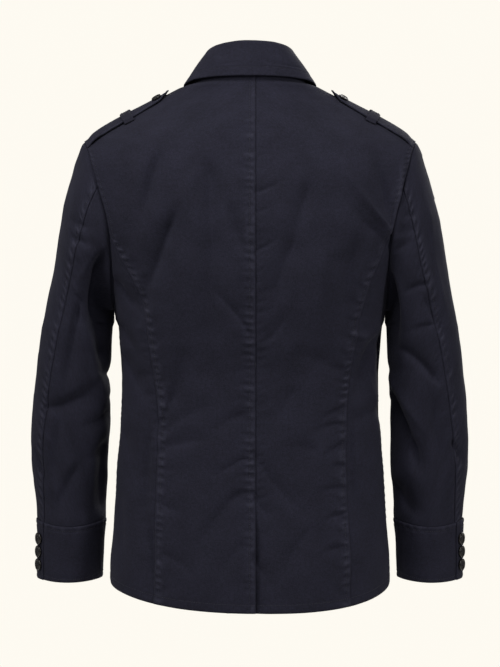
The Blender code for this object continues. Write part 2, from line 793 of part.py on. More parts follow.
def keeper_skin(u, w):
    across = lerp(-1, 1, u)
    x = KEEPER_X - KEEPER_LEAN * abs(across) ** 1.6 + (w - 0.5) * KEEPER_WIDTH
    y = strapCurves["centre"](KEEPER_X) + KEEPER_REACH * across
    settle = ease((abs(across) - 0.86) / 0.14)
    lift = lerp(strapCurves["lift"](KEEPER_X) + KEEPER_LIFT, WALL + 0.6, settle)
    return shoulder_skin(x, y, lift)


def mirrored(skin, side):
    def turned(u, w):
        place, normal = skin(u, w)
        return flip(place, side), flip(normal, side)
    return turned


def make_straps(material):
    for side in (1, -1):
        cloth("epaulette_" + side_name(side), STRAP_COLUMNS, spread(6),
              mirrored(strap_skin, side), material=material)
        cloth("epaulette_loop_" + side_name(side), KEEPER_COLUMNS, spread(1),
              mirrored(keeper_skin, side), material=material)


def make_button(name, kind, place, normal, material):
    """A round button with a dished face, standing off the cloth on its thread."""
    size = BUTTONS[kind]
    mesh = bmesh.new()
    bmesh.ops.create_cone(mesh, cap_ends=True, segments=BUTTON_SIDES,
                          radius1=size["radius"] * BUTTON_FOOT,
                          radius2=size["radius"], depth=size["height"])
    top = max(mesh.faces, key=lambda face: face.calc_center_median().z)
    bmesh.ops.inset_region(mesh, faces=[top], thickness=size["radius"] * BUTTON_RIM)
    bmesh.ops.translate(mesh, verts=top.verts[:], vec=(0, 0, -BUTTON_DISH))
    bmesh.ops.triangulate(mesh, faces=mesh.faces)
    centre = place + normal * (size["stand_off"] + size["height"] / 2)
    turn = normal.to_track_quat("Z", "Y").to_matrix().to_4x4()
    bmesh.ops.transform(mesh, verts=mesh.verts, matrix=Matrix.Translation(centre) @ turn)
    bmesh.ops.scale(mesh, verts=mesh.verts, vec=(MM, MM, MM))
    bmesh.ops.recalc_face_normals(mesh, faces=mesh.faces)
    add_object(name, mesh, material)


def make_buttons(material):
    for side in (1, -1):
        for i, z in enumerate(CUFF_BUTTON_Z):
            s = (CUFF_TOP_Z - z) / (CUFF_TOP_Z - CUFF_BOTTOM_Z)
            place, normal = cuff_skin(CUFF_BUTTON_TURN, s)
            name = "cuff_button_%s_%d" % (side_name(side), i + 1)
            make_button(name, "cuff", flip(place, side), flip(normal, side), material)
        lift = strapCurves["lift"](STRAP_BUTTON_X)
        y = strapCurves["centre"](STRAP_BUTTON_X) + STRAP_BUTTON_BACK
        place, normal = shoulder_skin(STRAP_BUTTON_X, y, lift)
        name = "epaulette_button_" + side_name(side)
        make_button(name, "strap", flip(place, side), flip(normal, side), material)
    front = panel_skin(1, "front", FRONT_LAP, FRONT_UNDERLAP, NECK_BACK_Z, FRONT_FOLDS)
    for i, z in enumerate(FRONT_BUTTON_Z):
        place, normal = front_middle(front, z)
        make_button("front_button_%d" % (i + 1), "front", place, normal, material)


def front_middle(skin, z):
    """The point of the left front at the middle of the body, at one height."""
    low, high = 0.0, 3.0
    for _ in range(30):
        v = (low + high) / 2
        if skin(0.1, v)[0].z < z:
            low = v
        else:
            high = v
    left, right = 0.0, 0.4
    for _ in range(24):
        u = (left + right) / 2
        if skin(u, low)[0].x < 0:
            left = u
        else:
            right = u
    return skin(left, low)


def main():
    for piece in list(bpy.data.objects):
        bpy.data.objects.remove(piece, do_unlink=True)
    cottonTwill = make_material("navy_twill", NAVY, 0.85)
    horn = make_material("dark_horn", HORN, 0.35)
    make_panels(cottonTwill)
    make_sleeves(cottonTwill)
    make_cuffs(cottonTwill)
    make_collar(cottonTwill)
    make_straps(cottonTwill)
    make_buttons(horn)


main()
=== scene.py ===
# Navy cotton field jacket, worn form, seen from the back.
# Tables and surface functions are in millimetres; meshes are in metres.
# +Z up, the jacket faces -Y, +X is the wearer's left, the origin is the middle of the neck.

from math import atan, pi, radians

import bmesh
import bpy
import numpy as np
from mathutils import Matrix, Vector


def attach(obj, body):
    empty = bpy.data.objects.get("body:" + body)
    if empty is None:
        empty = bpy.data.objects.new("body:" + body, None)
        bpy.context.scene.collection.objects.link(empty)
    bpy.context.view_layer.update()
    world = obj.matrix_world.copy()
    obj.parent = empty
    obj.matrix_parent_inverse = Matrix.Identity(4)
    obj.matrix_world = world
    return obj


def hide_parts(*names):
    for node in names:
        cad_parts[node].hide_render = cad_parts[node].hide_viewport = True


mm = 0.001

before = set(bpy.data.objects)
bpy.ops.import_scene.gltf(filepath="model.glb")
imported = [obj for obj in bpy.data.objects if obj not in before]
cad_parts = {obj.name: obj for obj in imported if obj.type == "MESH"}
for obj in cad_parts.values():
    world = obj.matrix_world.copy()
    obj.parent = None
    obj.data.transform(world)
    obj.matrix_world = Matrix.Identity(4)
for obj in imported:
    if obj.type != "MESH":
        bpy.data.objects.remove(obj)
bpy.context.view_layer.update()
print("frame loaded:", len(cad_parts), "nodes")


# ---- curves and noise

def lerp(a, b, t):
    return a + (b - a) * t


def ease(t):
    t = np.clip(t, 0.0, 1.0)
    return t * t * (3 - 2 * t)


def hermite(start, leave, end, arrive, t):
    t2, t3 = t * t, t * t * t
    return (start * (2 * t3 - 3 * t2 + 1) + leave * (t3 - 2 * t2 + t)
            + end * (3 * t2 - 2 * t3) + arrive * (t3 - t2))


def smoothCurve(stations, values):
    # a smooth line through the table's values that never overshoots them
    stations, values = np.array(stations, float), np.array(values, float)
    steps = np.diff(stations)
    rises = np.diff(values) / steps
    both = rises[:-1] * rises[1:]
    inner = np.where(both > 0, 2 * both / np.where(both > 0, rises[:-1] + rises[1:], 1), 0)
    slopes = np.concatenate((rises[:1], inner, rises[-1:]))

    def at(x):
        i = np.clip(np.searchsorted(stations, x) - 1, 0, len(steps) - 1)
        t = np.clip((x - stations[i]) / steps[i], 0, 1)
        return hermite(values[i], slopes[i] * steps[i],
                       values[i + 1], slopes[i + 1] * steps[i], t)

    return at


def tableCurves(table):
    columns = list(zip(*table["rows"]))
    return {name: smoothCurve(columns[0], column)
            for name, column in zip(table["columns"][1:], columns[1:])}


def softNoise(x, y, size, seed):
    # smooth values from -1 to 1 that change over about the given size
    cells = 96
    values = np.random.default_rng(seed).uniform(-1, 1, (cells, cells))
    gx, gy = np.asarray(x) / size, np.asarray(y) / size
    i, j = np.floor(gx).astype(int), np.floor(gy).astype(int)
    tx, ty = ease(gx - i), ease(gy - j)
    left, right = i % cells, (i + 1) % cells
    under, over = j % cells, (j + 1) % cells
    low = lerp(values[left, under], values[right, under], tx)
    high = lerp(values[left, over], values[right, over], tx)
    return lerp(low, high, ty)


def stack(x, y, z):
    x, y, z = np.broadcast_arrays(x, y, z)
    return np.stack((x, y, z), axis=-1).astype(float)


def unit(vectors):
    return vectors / np.maximum(np.linalg.norm(vectors, axis=-1, keepdims=True), 1e-9)


# ---- the body's form

body = {
    "underarmZ": -310.0, "tipZ": -83.0, "hemSideZ": -679.5, "hemFadeZ": -520.0,
    "hemDrop": {"back": 30.5, "front": 20.0}, "hemTilt": 2.4,
    "neckHalfWidth": 75.0, "neckSideZ": -3.0, "neckBackZ": 8.0, "neckFrontZ": -75.0,
    "neckPower": 1.5, "frontSag": 67.0, "sagPower": 2.4,
    "backLap": 7.5, "seamShift": -3.0, "shiftRun": 110.0, "princessTopZ": -208.0,
    "ventTopZ": -559.0, "ventUnderlap": 30.0, "frontLap": 18.0, "frontUnderlap": 14.0,
    "stations": 11, "princessStation": 6, "sleeveSeamStation": 4, "sleeveFrontStation": 7,
}
torso = tableCurves({
    "columns": ("z", "width", "back", "front", "power"),
    "rows": (
        (-720, 190, 121, 128, 2.5), (-666, 190, 119, 127, 2.5), (-598, 185, 113, 123, 2.4),
        (-517, 180, 106, 119, 2.35), (-435, 174.5, 103, 118, 2.3), (-408, 174, 104, 119, 2.3),
        (-354, 177.5, 113, 122, 2.3), (-310, 183, 121, 125, 2.3), (-260, 194, 126, 125, 2.3),
        (-205, 210, 126, 121, 2.3), (-150, 230, 118, 112, 2.2), (-117, 239, 109, 103, 2.1),
        (-100, 237, 103.5, 97, 1.98), (-90, 231.5, 100.5, 93, 1.9), (-83, 225, 98, 90, 1.85),
        (-77, 217, 96, 86, 1.75), (-69, 206, 93, 81, 1.65), (-58.5, 188.5, 89, 75, 1.55),
        (-44.5, 162, 82, 65, 1.5), (-32.2, 137.6, 76, 56, 1.5), (-25, 123.8, 72, 50, 1.55),
        (-19.3, 111, 69, 46, 1.65), (-15, 103, 67, 43, 1.75), (-10, 93, 65.5, 41, 1.9),
        (-3, 75, 62.5, 39, 2.0), (8, 75, 60, 38, 2.0),
    ),
})
princess = tableCurves({
    "columns": ("z", "x"),
    "rows": (
        (-720, 131), (-600, 128), (-486, 126), (-444, 126), (-400, 131), (-358, 137),
        (-331, 141.5), (-301, 150), (-272, 160), (-240, 174.5), (-208, 187), (-190, 190),
    ),
})
armhole = tableCurves({
    "columns": ("z", "back", "front"),
    "rows": (
        (-310, 183, 183), (-282, 184, 180.5), (-247, 184.2, 175), (-219, 186, 174.5),
        (-189, 190.5, 178.5), (-148, 202.5, 191), (-117, 212, 205), (-98, 217.5, 214),
        (-83, 225, 225),
    ),
})


def bodyPoint(angle, z, facing):
    # angle is 0 at the middle of the back or front and a quarter turn at the side
    power = torso["power"](z)
    across = np.abs(np.sin(angle)) ** (2 / power) * torso["width"](z)
    out = np.maximum(np.cos(angle), 0.0) ** (2 / power) * torso[facing](z)
    return stack(np.sign(angle) * across, out if facing == "back" else -out, z)


def angleAt(x, z):
    share = np.minimum(x / torso["width"](z), 1.0)
    return np.arcsin(share ** (torso["power"](z) / 2))


def neckHeight(turn):
    rise = np.maximum(np.cos(turn), 0)
    fall = np.maximum(-np.cos(turn), 0) ** body["neckPower"]
    side = body["neckSideZ"]
    return side + (body["neckBackZ"] - side) * rise + (body["neckFrontZ"] - side) * fall


def armholeZ(t):
    return lerp(body["tipZ"], body["underarmZ"], (1 - np.cos(pi * np.clip(t, 0, 1))) / 2)


def armholeAngle(t, facing):
    z = armholeZ(t)
    return np.where((t <= 0) | (t >= 1), pi / 2, angleAt(armhole[facing](z), z))


def rowLevel(v):
    # 0 hem, 1 underarm, 2 shoulder tip, 3 neck
    return np.where(v <= 1, lerp(body["hemSideZ"], body["underarmZ"], v),
                    np.where(v <= 2, armholeZ(2 - v),
                             lerp(body["tipZ"], body["neckSideZ"], v - 2)))


def rowHeight(v, angle, facing, side, share=1.0):
    level = rowLevel(np.minimum(v, 2))
    fade = np.maximum((body["hemFadeZ"] - level) / (body["hemFadeZ"] - body["hemSideZ"]), 0) ** 1.5
    tilt = body["hemTilt"] * side * np.sin(2 * angle) if facing == "back" else 0.0
    middle = np.maximum(np.cos(angle), 0.0)
    low = level + (tilt - body["hemDrop"][facing] * middle ** 1.4) * fade
    if facing == "back":
        return np.where(v <= 1, low, level)
    rise = ease((level - body["underarmZ"]) / (body["tipZ"] - body["underarmZ"]))
    sag = np.maximum(np.cos(share * pi / 2), 0.0) ** body["sagPower"]
    return np.where(v <= 1, low, level - body["frontSag"] * rise * sag)


def princessAngle(v, side):
    z = rowLevel(v)
    shift = side * body["seamShift"] * ease((body["princessTopZ"] - z) / body["shiftRun"])
    return angleAt(princess["x"](z) + shift, z)


def outerAngle(v, side, facing):
    edge = np.where((v <= 1) | (v >= 2), pi / 2, armholeAngle(2 - v, facing))
    if facing == "back":
        junction = 2 - body["princessStation"] / body["stations"]
        edge = np.where(v <= junction, princessAngle(v, side), edge)
    return edge


def rowAngle(share, outer):
    short = np.maximum(pi / 2 - outer, 1e-9)
    power = np.clip(0.6 * pi / 2 / short, 1.0, 4.0)
    return share * pi / 2 - short * share ** power


def panelPlace(q, v, side, facing):
    # q is 0 at the middle and 1 at the panel's outer edge
    q, v = np.broadcast_arrays(np.asarray(q, float), np.asarray(v, float))
    share = np.abs(q)
    angle = rowAngle(share, outerAngle(v, side, facing))
    low = bodyPoint(angle, rowHeight(v, angle, facing, side, share), facing)
    turn = share * pi / 2 if facing == "back" else pi - share * pi / 2
    neckZ = neckHeight(turn)
    neck = np.where(share < 1, angleAt(body["neckHalfWidth"] * np.sin(turn), neckZ), pi / 2)
    rise = np.clip(v - 2, 0, 1)
    z = lerp(rowHeight(2.0, share * pi / 2, facing, side, share), neckZ, rise)
    high = bodyPoint(lerp(share * pi / 2, neck, rise), z, facing)
    place = np.where((v <= 2)[..., None], low, high)
    place[..., 0] *= np.where(q < 0, -1, 1)
    return place


def qAt(x, v, side, facing):
    low, high = np.zeros_like(v), np.full_like(v, 0.6)
    for _ in range(24):
        middle = (low + high) / 2
        short = panelPlace(middle, v, side, facing)[..., 0] < abs(x)
        low, high = np.where(short, middle, low), np.where(short, high, middle)
    return low if x >= 0 else -low


def panelRows(low, middle, high, last=3.0):
    # how far apart the rows lie up to the underarm, the shoulder tip and the neck
    hem = np.linspace(0, 1, low + 1)
    rise = np.linspace(0, 1, middle + 1)[1:]
    hole = 2 - np.arccos(np.clip(2 * rise - 1, -1, 1)) / pi
    rows = np.concatenate((hem, hole, np.linspace(2, 3, high + 1)[1:]))
    return rows[rows <= last]


# ---- sheets: a grid of points with the distances that seams and creases need

def spreadColumns(length, count, dense, step):
    # close together along both edges and even between; one row of places per length
    step = np.minimum(step, length / (count - 1))
    places = []
    for i in range(count):
        if i < dense:
            places.append(i * step)
        elif i >= count - dense:
            places.append(length - (count - 1 - i) * step)
        else:
            share = (i - dense + 1) / (count - 2 * dense + 1)
            places.append(lerp((dense - 1) * step, length - (dense - 1) * step, share))
    return np.stack(places, axis=-1)


def layRows(surface, starts, ends, rows, count, dense, step):
    # surface(q, v) laid out by real distance along each row, from starts to ends
    fine = np.linspace(0, 1, 301)
    q = lerp(starts[:, None], ends[:, None], fine)
    points = surface(q, np.broadcast_to(rows[:, None], q.shape))
    run = np.cumsum(np.linalg.norm(np.diff(points, axis=1), axis=-1), axis=1)
    run = np.concatenate((np.zeros((len(rows), 1)), run), axis=1)
    places = spreadColumns(run[:, -1], count, dense, step)
    chosen = np.stack([np.interp(p, r, k) for p, r, k in zip(places, run, q)])
    grid = surface(chosen, np.broadcast_to(rows[:, None], chosen.shape))
    return {
        "points": grid, "param": chosen, "rows": rows,
        "start": places, "end": run[:, -1:] - places,
        "along": upward(grid),
    }


def upward(grid):
    steps = np.linalg.norm(np.diff(grid, axis=0), axis=-1)
    return np.concatenate((np.zeros((1, grid.shape[1])), np.cumsum(steps, axis=0)))


def soften(grid, weight, rounds=60):
    # round off a kink across the rows, as much as the weight says
    for _ in range(rounds):
        grid[1:-1] += weight[1:-1] * ((grid[:-2] + grid[2:]) / 2 - grid[1:-1])


def gridNormals(grid):
    across, along = np.gradient(grid, axis=1), np.gradient(grid, axis=0)
    return unit(np.cross(across, along))


def orient(normals, away):
    # the grid's own normals, all turned round together where they point inward
    return -normals if (normals * away).sum() < 0 else normals


def mirror(sheet, side):
    for name in ("points", "normals"):
        sheet[name][..., 0] *= side
    return sheet


def displace(sheet, offset):
    sheet["base"] = sheet["points"]
    sheet["lift"] = offset
    sheet["points"] = sheet["points"] + sheet["normals"] * offset[..., None]


def tuck(sheet, edge, sink, reach=(1.0, 3.0, 6.0), drift=None):
    # carry one edge on, sunk, so that it lies beneath the piece that is sewn over it
    axis = 0 if edge in ("bottom", "top") else 1
    first = edge in ("start", "bottom")
    take = (lambda a, i: a[:, i] if axis else a[i])
    rim, inside = (0, 1) if first else (-1, -2)
    place, normal = take(sheet["points"], rim), take(sheet["normals"], rim)
    out = unit(place - take(sheet["points"], inside)) if drift is None else drift
    for distance in reach:
        strip = place + out * distance - normal * sink * min(distance / reach[0], 1)
        for name, values in (("points", strip), ("normals", normal)):
            join = [np.expand_dims(values, axis), sheet[name]]
            sheet[name] = np.concatenate(join if first else join[::-1], axis=axis)
        for name in ("start", "end", "along", "lift"):
            edgeValues = np.expand_dims(take(sheet[name], rim), axis)
            join = [edgeValues - distance * (name in ("start", "end")), sheet[name]]
            sheet[name] = np.concatenate(join if first else join[::-1], axis=axis)
    return sheet


# ---- creases and puckers

def creaseDepth(table, x, z):
    # each row runs from its tight end (x0, z0) to where it dies away at (x1, z1), bowed
    # sideways, with its own width on either side; a negative depth is a trough
    total = np.zeros(np.broadcast(x, z).shape)
    for x0, z0, x1, z1, bow, left, right, depth in table["rows"]:
        length = np.hypot(x1 - x0, z1 - z0)
        ux, uz = (x1 - x0) / length, (z1 - z0) / length
        t = ((x - x0) * ux + (z - z0) * uz) / length
        inside = np.clip(t, 0, 1)
        aside = (x - x0) * -uz + (z - z0) * ux - bow * 4 * inside * (1 - inside)
        width = np.where(aside > 0, left, right) * (0.7 + 0.6 * inside)
        fade = ease((t + 0.15) / 0.35) * (1 - ease((t - 0.45) / 0.75))
        total += depth * fade * np.exp(0.55 - 1.6 * np.sqrt((aside / width) ** 2 + 0.05))
    return total


creaseColumns = ("x0", "z0", "x1", "z1", "bow", "left", "right", "depth")


def wave(along, size, seed):
    return softNoise(along, np.zeros_like(along) + 7.3 * seed, size, seed)


def puckers(away, along, period, height, centre, spread, seed, slant=0.0):
    # short uneven ridges, square to a seam, strongest at the stitching
    drawn = along + slant * away + 0.8 * period * wave(along, 3.6 * period, seed)
    phase = 2 * pi * drawn / period
    ridge = np.sin(phase) + 0.3 * np.sin(2 * phase + 4 * wave(along, 5 * period, seed + 3))
    strength = np.clip(0.8 + 0.65 * wave(along, 2.2 * period, seed + 1), 0.15, 1.4)
    lasting = spread * (1 + 0.3 * wave(along, 1.6 * period, seed + 2))
    fade = np.exp(-((away - centre) / lasting) ** 2) * ease((away + 0.3) / 2.5)
    return height * ridge * strength * fade


def groove(away, place, width, depth):
    return -depth * np.exp(-((away - place) / width) ** 2)


def lapEdge(away, raise_, run, rounding=0.45):
    # an edge that lies on top: lifted over its seam allowance and turned at the rim
    return raise_ * np.exp(-(np.maximum(away, 0) / run) ** 2) - rounding * np.exp(-(away / 0.9) ** 2)


def crumple(x, z, seed, lean=0.25, stretch=0.6):
    # the unevenness of washed cotton: soft hollows, and ridges that lean and run on
    across, down = x + lean * z, stretch * z
    ridge = 0.4 - np.sqrt(softNoise(across, down, 34, seed + 4) ** 2 + 0.03)
    small = 0.4 - np.sqrt(softNoise(across, down, 15, seed + 5) ** 2 + 0.03)
    return (0.85 * softNoise(x, z, 52, seed) + 0.9 * ridge + 0.34 * small
            + 0.30 * softNoise(x, z, 23, seed + 1) + 0.11 * softNoise(x + 0.4 * z, z, 9.5, seed + 2)
            + 0.05 * softNoise(x, z, 5.0, seed + 3))


# ---- materials

def socket(group, name, kind, out, default=None):
    made = group.interface.new_socket(name=name, in_out="OUTPUT" if out else "INPUT",
                                      socket_type=kind)
    if default is not None:
        made.default_value = default
    return made


def clothGroup():
    # twill weave, mottling and rubbed seams, shared by every cloth
    group = bpy.data.node_groups.new("twillCloth", "ShaderNodeTree")
    socket(group, "Cloth", "NodeSocketColor", False, (0.03, 0.03, 0.045, 1))
    socket(group, "Rubbed", "NodeSocketColor", False, (0.07, 0.07, 0.095, 1))
    socket(group, "Wear", "NodeSocketFloat", False, 0.0)
    socket(group, "Mottle", "NodeSocketFloat", False, 0.12)
    socket(group, "Yarns", "NodeSocketFloat", False, 1400.0)
    socket(group, "Color", "NodeSocketColor", True)
    socket(group, "Roughness", "NodeSocketFloat", True)
    socket(group, "Height", "NodeSocketFloat", True)
    nodes, links = group.nodes, group.links

    def make(kind, **settings):
        node = nodes.new(kind)
        for name, value in settings.items():
            setattr(node, name, value)
        return node

    def join(a, b):
        links.new(a, b)

    entry, leave = make("NodeGroupInput"), make("NodeGroupOutput")
    grain = make("ShaderNodeUVMap", uv_map="grain")
    turned = make("ShaderNodeMapping")
    turned.inputs["Rotation"].default_value = (0, 0, radians(63))
    join(grain.outputs["UV"], turned.inputs["Vector"])

    lines = make("ShaderNodeTexWave", wave_type="BANDS", bands_direction="X")
    lines.inputs["Distortion"].default_value = 2.4
    lines.inputs["Detail"].default_value = 1.0
    lines.inputs["Detail Scale"].default_value = 0.7
    join(turned.outputs["Vector"], lines.inputs["Vector"])
    scale = make("ShaderNodeMath", operation="MULTIPLY")
    scale.inputs[1].default_value = 0.16
    join(entry.outputs["Yarns"], scale.inputs[0])
    join(scale.outputs["Value"], lines.inputs["Scale"])

    def noise(size, detail):
        node = make("ShaderNodeTexNoise")
        node.inputs["Scale"].default_value = size
        node.inputs["Detail"].default_value = detail
        join(grain.outputs["UV"], node.inputs["Vector"])
        return node.outputs["Fac"]

    slub, fleck, patch = noise(620, 2.0), noise(230, 3.0), noise(26, 3.0)

    def scaled(source, low, high):
        node = make("ShaderNodeMapRange")
        node.inputs["From Min"].default_value = 0.25
        node.inputs["From Max"].default_value = 0.75
        node.inputs["To Min"].default_value = low
        node.inputs["To Max"].default_value = high
        join(source, node.inputs["Value"])
        return node.outputs["Result"]

    def add(a, b, operation="ADD"):
        node = make("ShaderNodeMath", operation=operation)
        join(a, node.inputs[0])
        if isinstance(b, float):
            node.inputs[1].default_value = b
        else:
            join(b, node.inputs[1])
        return node.outputs["Value"]

    mottled = add(add(scaled(slub, -1.2, 1.2), scaled(fleck, -0.9, 0.9)), scaled(patch, -0.7, 0.7))
    shade = add(add(mottled, entry.outputs["Mottle"], "MULTIPLY"), 1.0)
    tone = make("ShaderNodeMix", data_type="RGBA", blend_type="MULTIPLY")
    tone.inputs["Factor"].default_value = 1.0
    grey = make("ShaderNodeCombineColor")
    for name in ("Red", "Green", "Blue"):
        join(shade, grey.inputs[name])
    join(entry.outputs["Cloth"], tone.inputs["A"])
    join(grey.outputs["Color"], tone.inputs["B"])

    rubbed = make("ShaderNodeMix", data_type="RGBA", blend_type="MIX")
    worn = add(entry.outputs["Wear"], scaled(fleck, 0.35, 1.3), "MULTIPLY")
    join(worn, rubbed.inputs["Factor"])
    join(tone.outputs["Result"], rubbed.inputs["A"])
    join(entry.outputs["Rubbed"], rubbed.inputs["B"])
    join(rubbed.outputs["Result"], leave.inputs["Color"])

    rough = scaled(fleck, 0.82, 0.95)
    join(rough, leave.inputs["Roughness"])
    height = add(add(scaled(lines.outputs["Fac"], 0.0, 0.55), scaled(slub, 0.0, 0.35)),
                 scaled(fleck, 0.0, 0.5))
    join(height, leave.inputs["Height"])
    return group


def clothMaterial(name, group, cloth, rubbed, mottle, sheen):
    material = bpy.data.materials.new(name)
    material.use_nodes = True
    nodes, links = material.node_tree.nodes, material.node_tree.links
    shader = nodes["Principled BSDF"]
    shader.inputs["Specular IOR Level"].default_value = 0.22
    shader.inputs["Sheen Weight"].default_value = sheen
    shader.inputs["Sheen Roughness"].default_value = 0.45
    shader.inputs["Sheen Tint"].default_value = (0.72, 0.74, 0.9, 1)
    weave = nodes.new("ShaderNodeGroup")
    weave.node_tree = group
    weave.inputs["Cloth"].default_value = cloth
    weave.inputs["Rubbed"].default_value = rubbed
    weave.inputs["Mottle"].default_value = mottle
    wear = nodes.new("ShaderNodeAttribute")
    wear.attribute_name = "wear"
    bump = nodes.new("ShaderNodeBump")
    bump.inputs["Strength"].default_value = 0.55
    bump.inputs["Distance"].default_value = 0.0004
    links.new(wear.outputs["Fac"], weave.inputs["Wear"])
    links.new(weave.outputs["Color"], shader.inputs["Base Color"])
    links.new(weave.outputs["Roughness"], shader.inputs["Roughness"])
    links.new(weave.outputs["Height"], bump.inputs["Height"])
    links.new(bump.outputs["Normal"], shader.inputs["Normal"])
    return material


def hornMaterial():
    material = bpy.data.materials.new("darkHorn")
    material.use_nodes = True
    nodes, links = material.node_tree.nodes, material.node_tree.links
    shader = nodes["Principled BSDF"]
    place = nodes.new("ShaderNodeTexCoord")
    stretch = nodes.new("ShaderNodeMapping")
    stretch.inputs["Scale"].default_value = (1, 1, 0.35)
    streak = nodes.new("ShaderNodeTexNoise")
    streak.inputs["Scale"].default_value = 420
    streak.inputs["Detail"].default_value = 4
    streak.inputs["Distortion"].default_value = 1.2
    colours = nodes.new("ShaderNodeValToRGB")
    colours.color_ramp.elements[0].position = 0.36
    colours.color_ramp.elements[0].color = (0.007, 0.006, 0.006, 1)
    colours.color_ramp.elements[1].position = 0.68
    colours.color_ramp.elements[1].color = (0.026, 0.021, 0.020, 1)
    gloss = nodes.new("ShaderNodeMapRange")
    gloss.inputs["To Min"].default_value = 0.16
    gloss.inputs["To Max"].default_value = 0.34
    links.new(place.outputs["Object"], stretch.inputs["Vector"])
    links.new(stretch.outputs["Vector"], streak.inputs["Vector"])
    links.new(streak.outputs["Fac"], colours.inputs["Fac"])
    links.new(colours.outputs["Color"], shader.inputs["Base Color"])
    links.new(streak.outputs["Fac"], gloss.inputs["Value"])
    links.new(gloss.outputs["Result"], shader.inputs["Roughness"])
    return material


def threadMaterial(name, dark, light):
    material = bpy.data.materials.new(name)
    material.use_nodes = True
    nodes, links = material.node_tree.nodes, material.node_tree.links
    shader = nodes["Principled BSDF"]
    shader.inputs["Roughness"].default_value = 0.6
    shader.inputs["Sheen Weight"].default_value = 0.3
    place = nodes.new("ShaderNodeTexCoord")
    twist = nodes.new("ShaderNodeTexNoise")
    twist.inputs["Scale"].default_value = 900
    colours = nodes.new("ShaderNodeValToRGB")
    colours.color_ramp.elements[0].position = 0.4
    colours.color_ramp.elements[0].color = dark
    colours.color_ramp.elements[1].position = 0.65
    colours.color_ramp.elements[1].color = light
    links.new(place.outputs["Object"], twist.inputs["Vector"])
    links.new(twist.outputs["Fac"], colours.inputs["Fac"])
    links.new(colours.outputs["Color"], shader.inputs["Base Color"])
    return material


twill = clothGroup()
navyTwill = clothMaterial("navyTwill", twill, (0.0250, 0.0249, 0.0432, 1),
                          (0.062, 0.062, 0.098, 1), 0.24, 0.06)
# the strap loops' twill: the body's navy twill made a little darker, painted shade rather than a
# different cloth
loopTwillPaintedShade = clothMaterial("loopTwillPaintedShade", twill, (0.0245, 0.0240, 0.0400, 1),
                          (0.062, 0.062, 0.098, 1), 0.2, 0.06)
darkHorn = hornMaterial()
navyThread = threadMaterial("navyThread", (0.014, 0.014, 0.022, 1), (0.030, 0.030, 0.044, 1))
brownThread = threadMaterial("brownThread", (0.018, 0.014, 0.014, 1), (0.13, 0.10, 0.085, 1))
print("materials made")


# ---- making meshes

clothWall = {"body": 1.3, "collar": 1.8, "cuff": 1.9, "strap": 1.5, "loop": 1.3}


def clothPiece(name, sheet, wall, nodes, material=navyTwill):
    # the sheet's grid as a mesh with a wall, its grain as UV and its rubbed ridges
    points = sheet["points"]
    rows, columns = points.shape[:2]
    mesh = bmesh.new()
    bmesh.ops.create_grid(mesh, x_segments=columns - 1, y_segments=rows - 1, size=0.5)
    data = bpy.data.meshes.new(name)
    mesh.to_mesh(data)
    mesh.free()
    flat = np.empty(len(data.vertices) * 3)
    data.vertices.foreach_get("co", flat)
    flat = flat.reshape(-1, 3)
    i = np.rint((flat[:, 0] + 0.5) * (columns - 1)).astype(int)
    j = np.rint((flat[:, 1] + 0.5) * (rows - 1)).astype(int)
    data.vertices.foreach_set("co", (points[j, i] * mm).ravel())
    facing = np.cross(np.gradient(points, axis=1), np.gradient(points, axis=0))
    if (facing * sheet["normals"]).sum() < 0:
        data.flip_normals()
    corner = np.empty(len(data.loops), dtype=np.int32)
    data.loops.foreach_get("vertex_index", corner)
    grain = data.uv_layers.new(name="grain")
    across = (sheet["start"] - sheet["start"].mean(axis=1, keepdims=True))[j, i]
    spots = np.stack((across, sheet["along"][j, i]), axis=-1)[corner] * mm
    grain.data.foreach_set("uv", spots.astype(np.float32).ravel())
    wear = data.attributes.new("wear", "FLOAT", "POINT")
    wear.data.foreach_set("value", sheet.get("wear", np.zeros((rows, columns)))[j, i]
                          .astype(np.float32))
    data.update()
    data.shade_smooth()
    data.materials.append(material)
    piece = bpy.data.objects.new(name, data)
    bpy.context.scene.collection.objects.link(piece)
    thick = piece.modifiers.new("wall", "SOLIDIFY")
    thick.thickness = wall * mm
    thick.offset = -1.0
    finishPiece(piece, nodes)


def finishPiece(piece, nodes=()):
    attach(piece, "root")
    if nodes:
        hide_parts(*nodes)


def trace(sheet, field, value, byColumn=False):
    # the line on a sheet where one of its distances has the given value
    points, normals, away = sheet["points"], sheet["normals"], sheet[field]
    if byColumn:
        points, normals, away = np.swapaxes(points, 0, 1), np.swapaxes(normals, 0, 1), away.T
    line, up = [], []
    for p, n, a in zip(points, normals, away):
        order = slice(None) if a[-1] > a[0] else slice(None, None, -1)
        if not min(a[0], a[-1]) <= value <= max(a[0], a[-1]):
            continue
        line.append([np.interp(value, a[order], p[order, k]) for k in range(3)])
        up.append([np.interp(value, a[order], n[order, k]) for k in range(3)])
    return np.array(line), unit(np.array(up))


def stitchPlaces(line, up, pitch, skip=0.0):
    run = np.concatenate(([0], np.cumsum(np.linalg.norm(np.diff(line, axis=0), axis=1))))
    spots = np.arange(skip + pitch / 2, run[-1] - skip, pitch)
    centre = np.stack([np.interp(spots, run, line[:, k]) for k in range(3)], axis=-1)
    after = np.stack([np.interp(spots + 0.8, run, line[:, k]) for k in range(3)], axis=-1)
    before = np.stack([np.interp(spots - 0.8, run, line[:, k]) for k in range(3)], axis=-1)
    normal = np.stack([np.interp(spots, run, up[:, k]) for k in range(3)], axis=-1)
    return centre, unit(after - before), unit(normal)


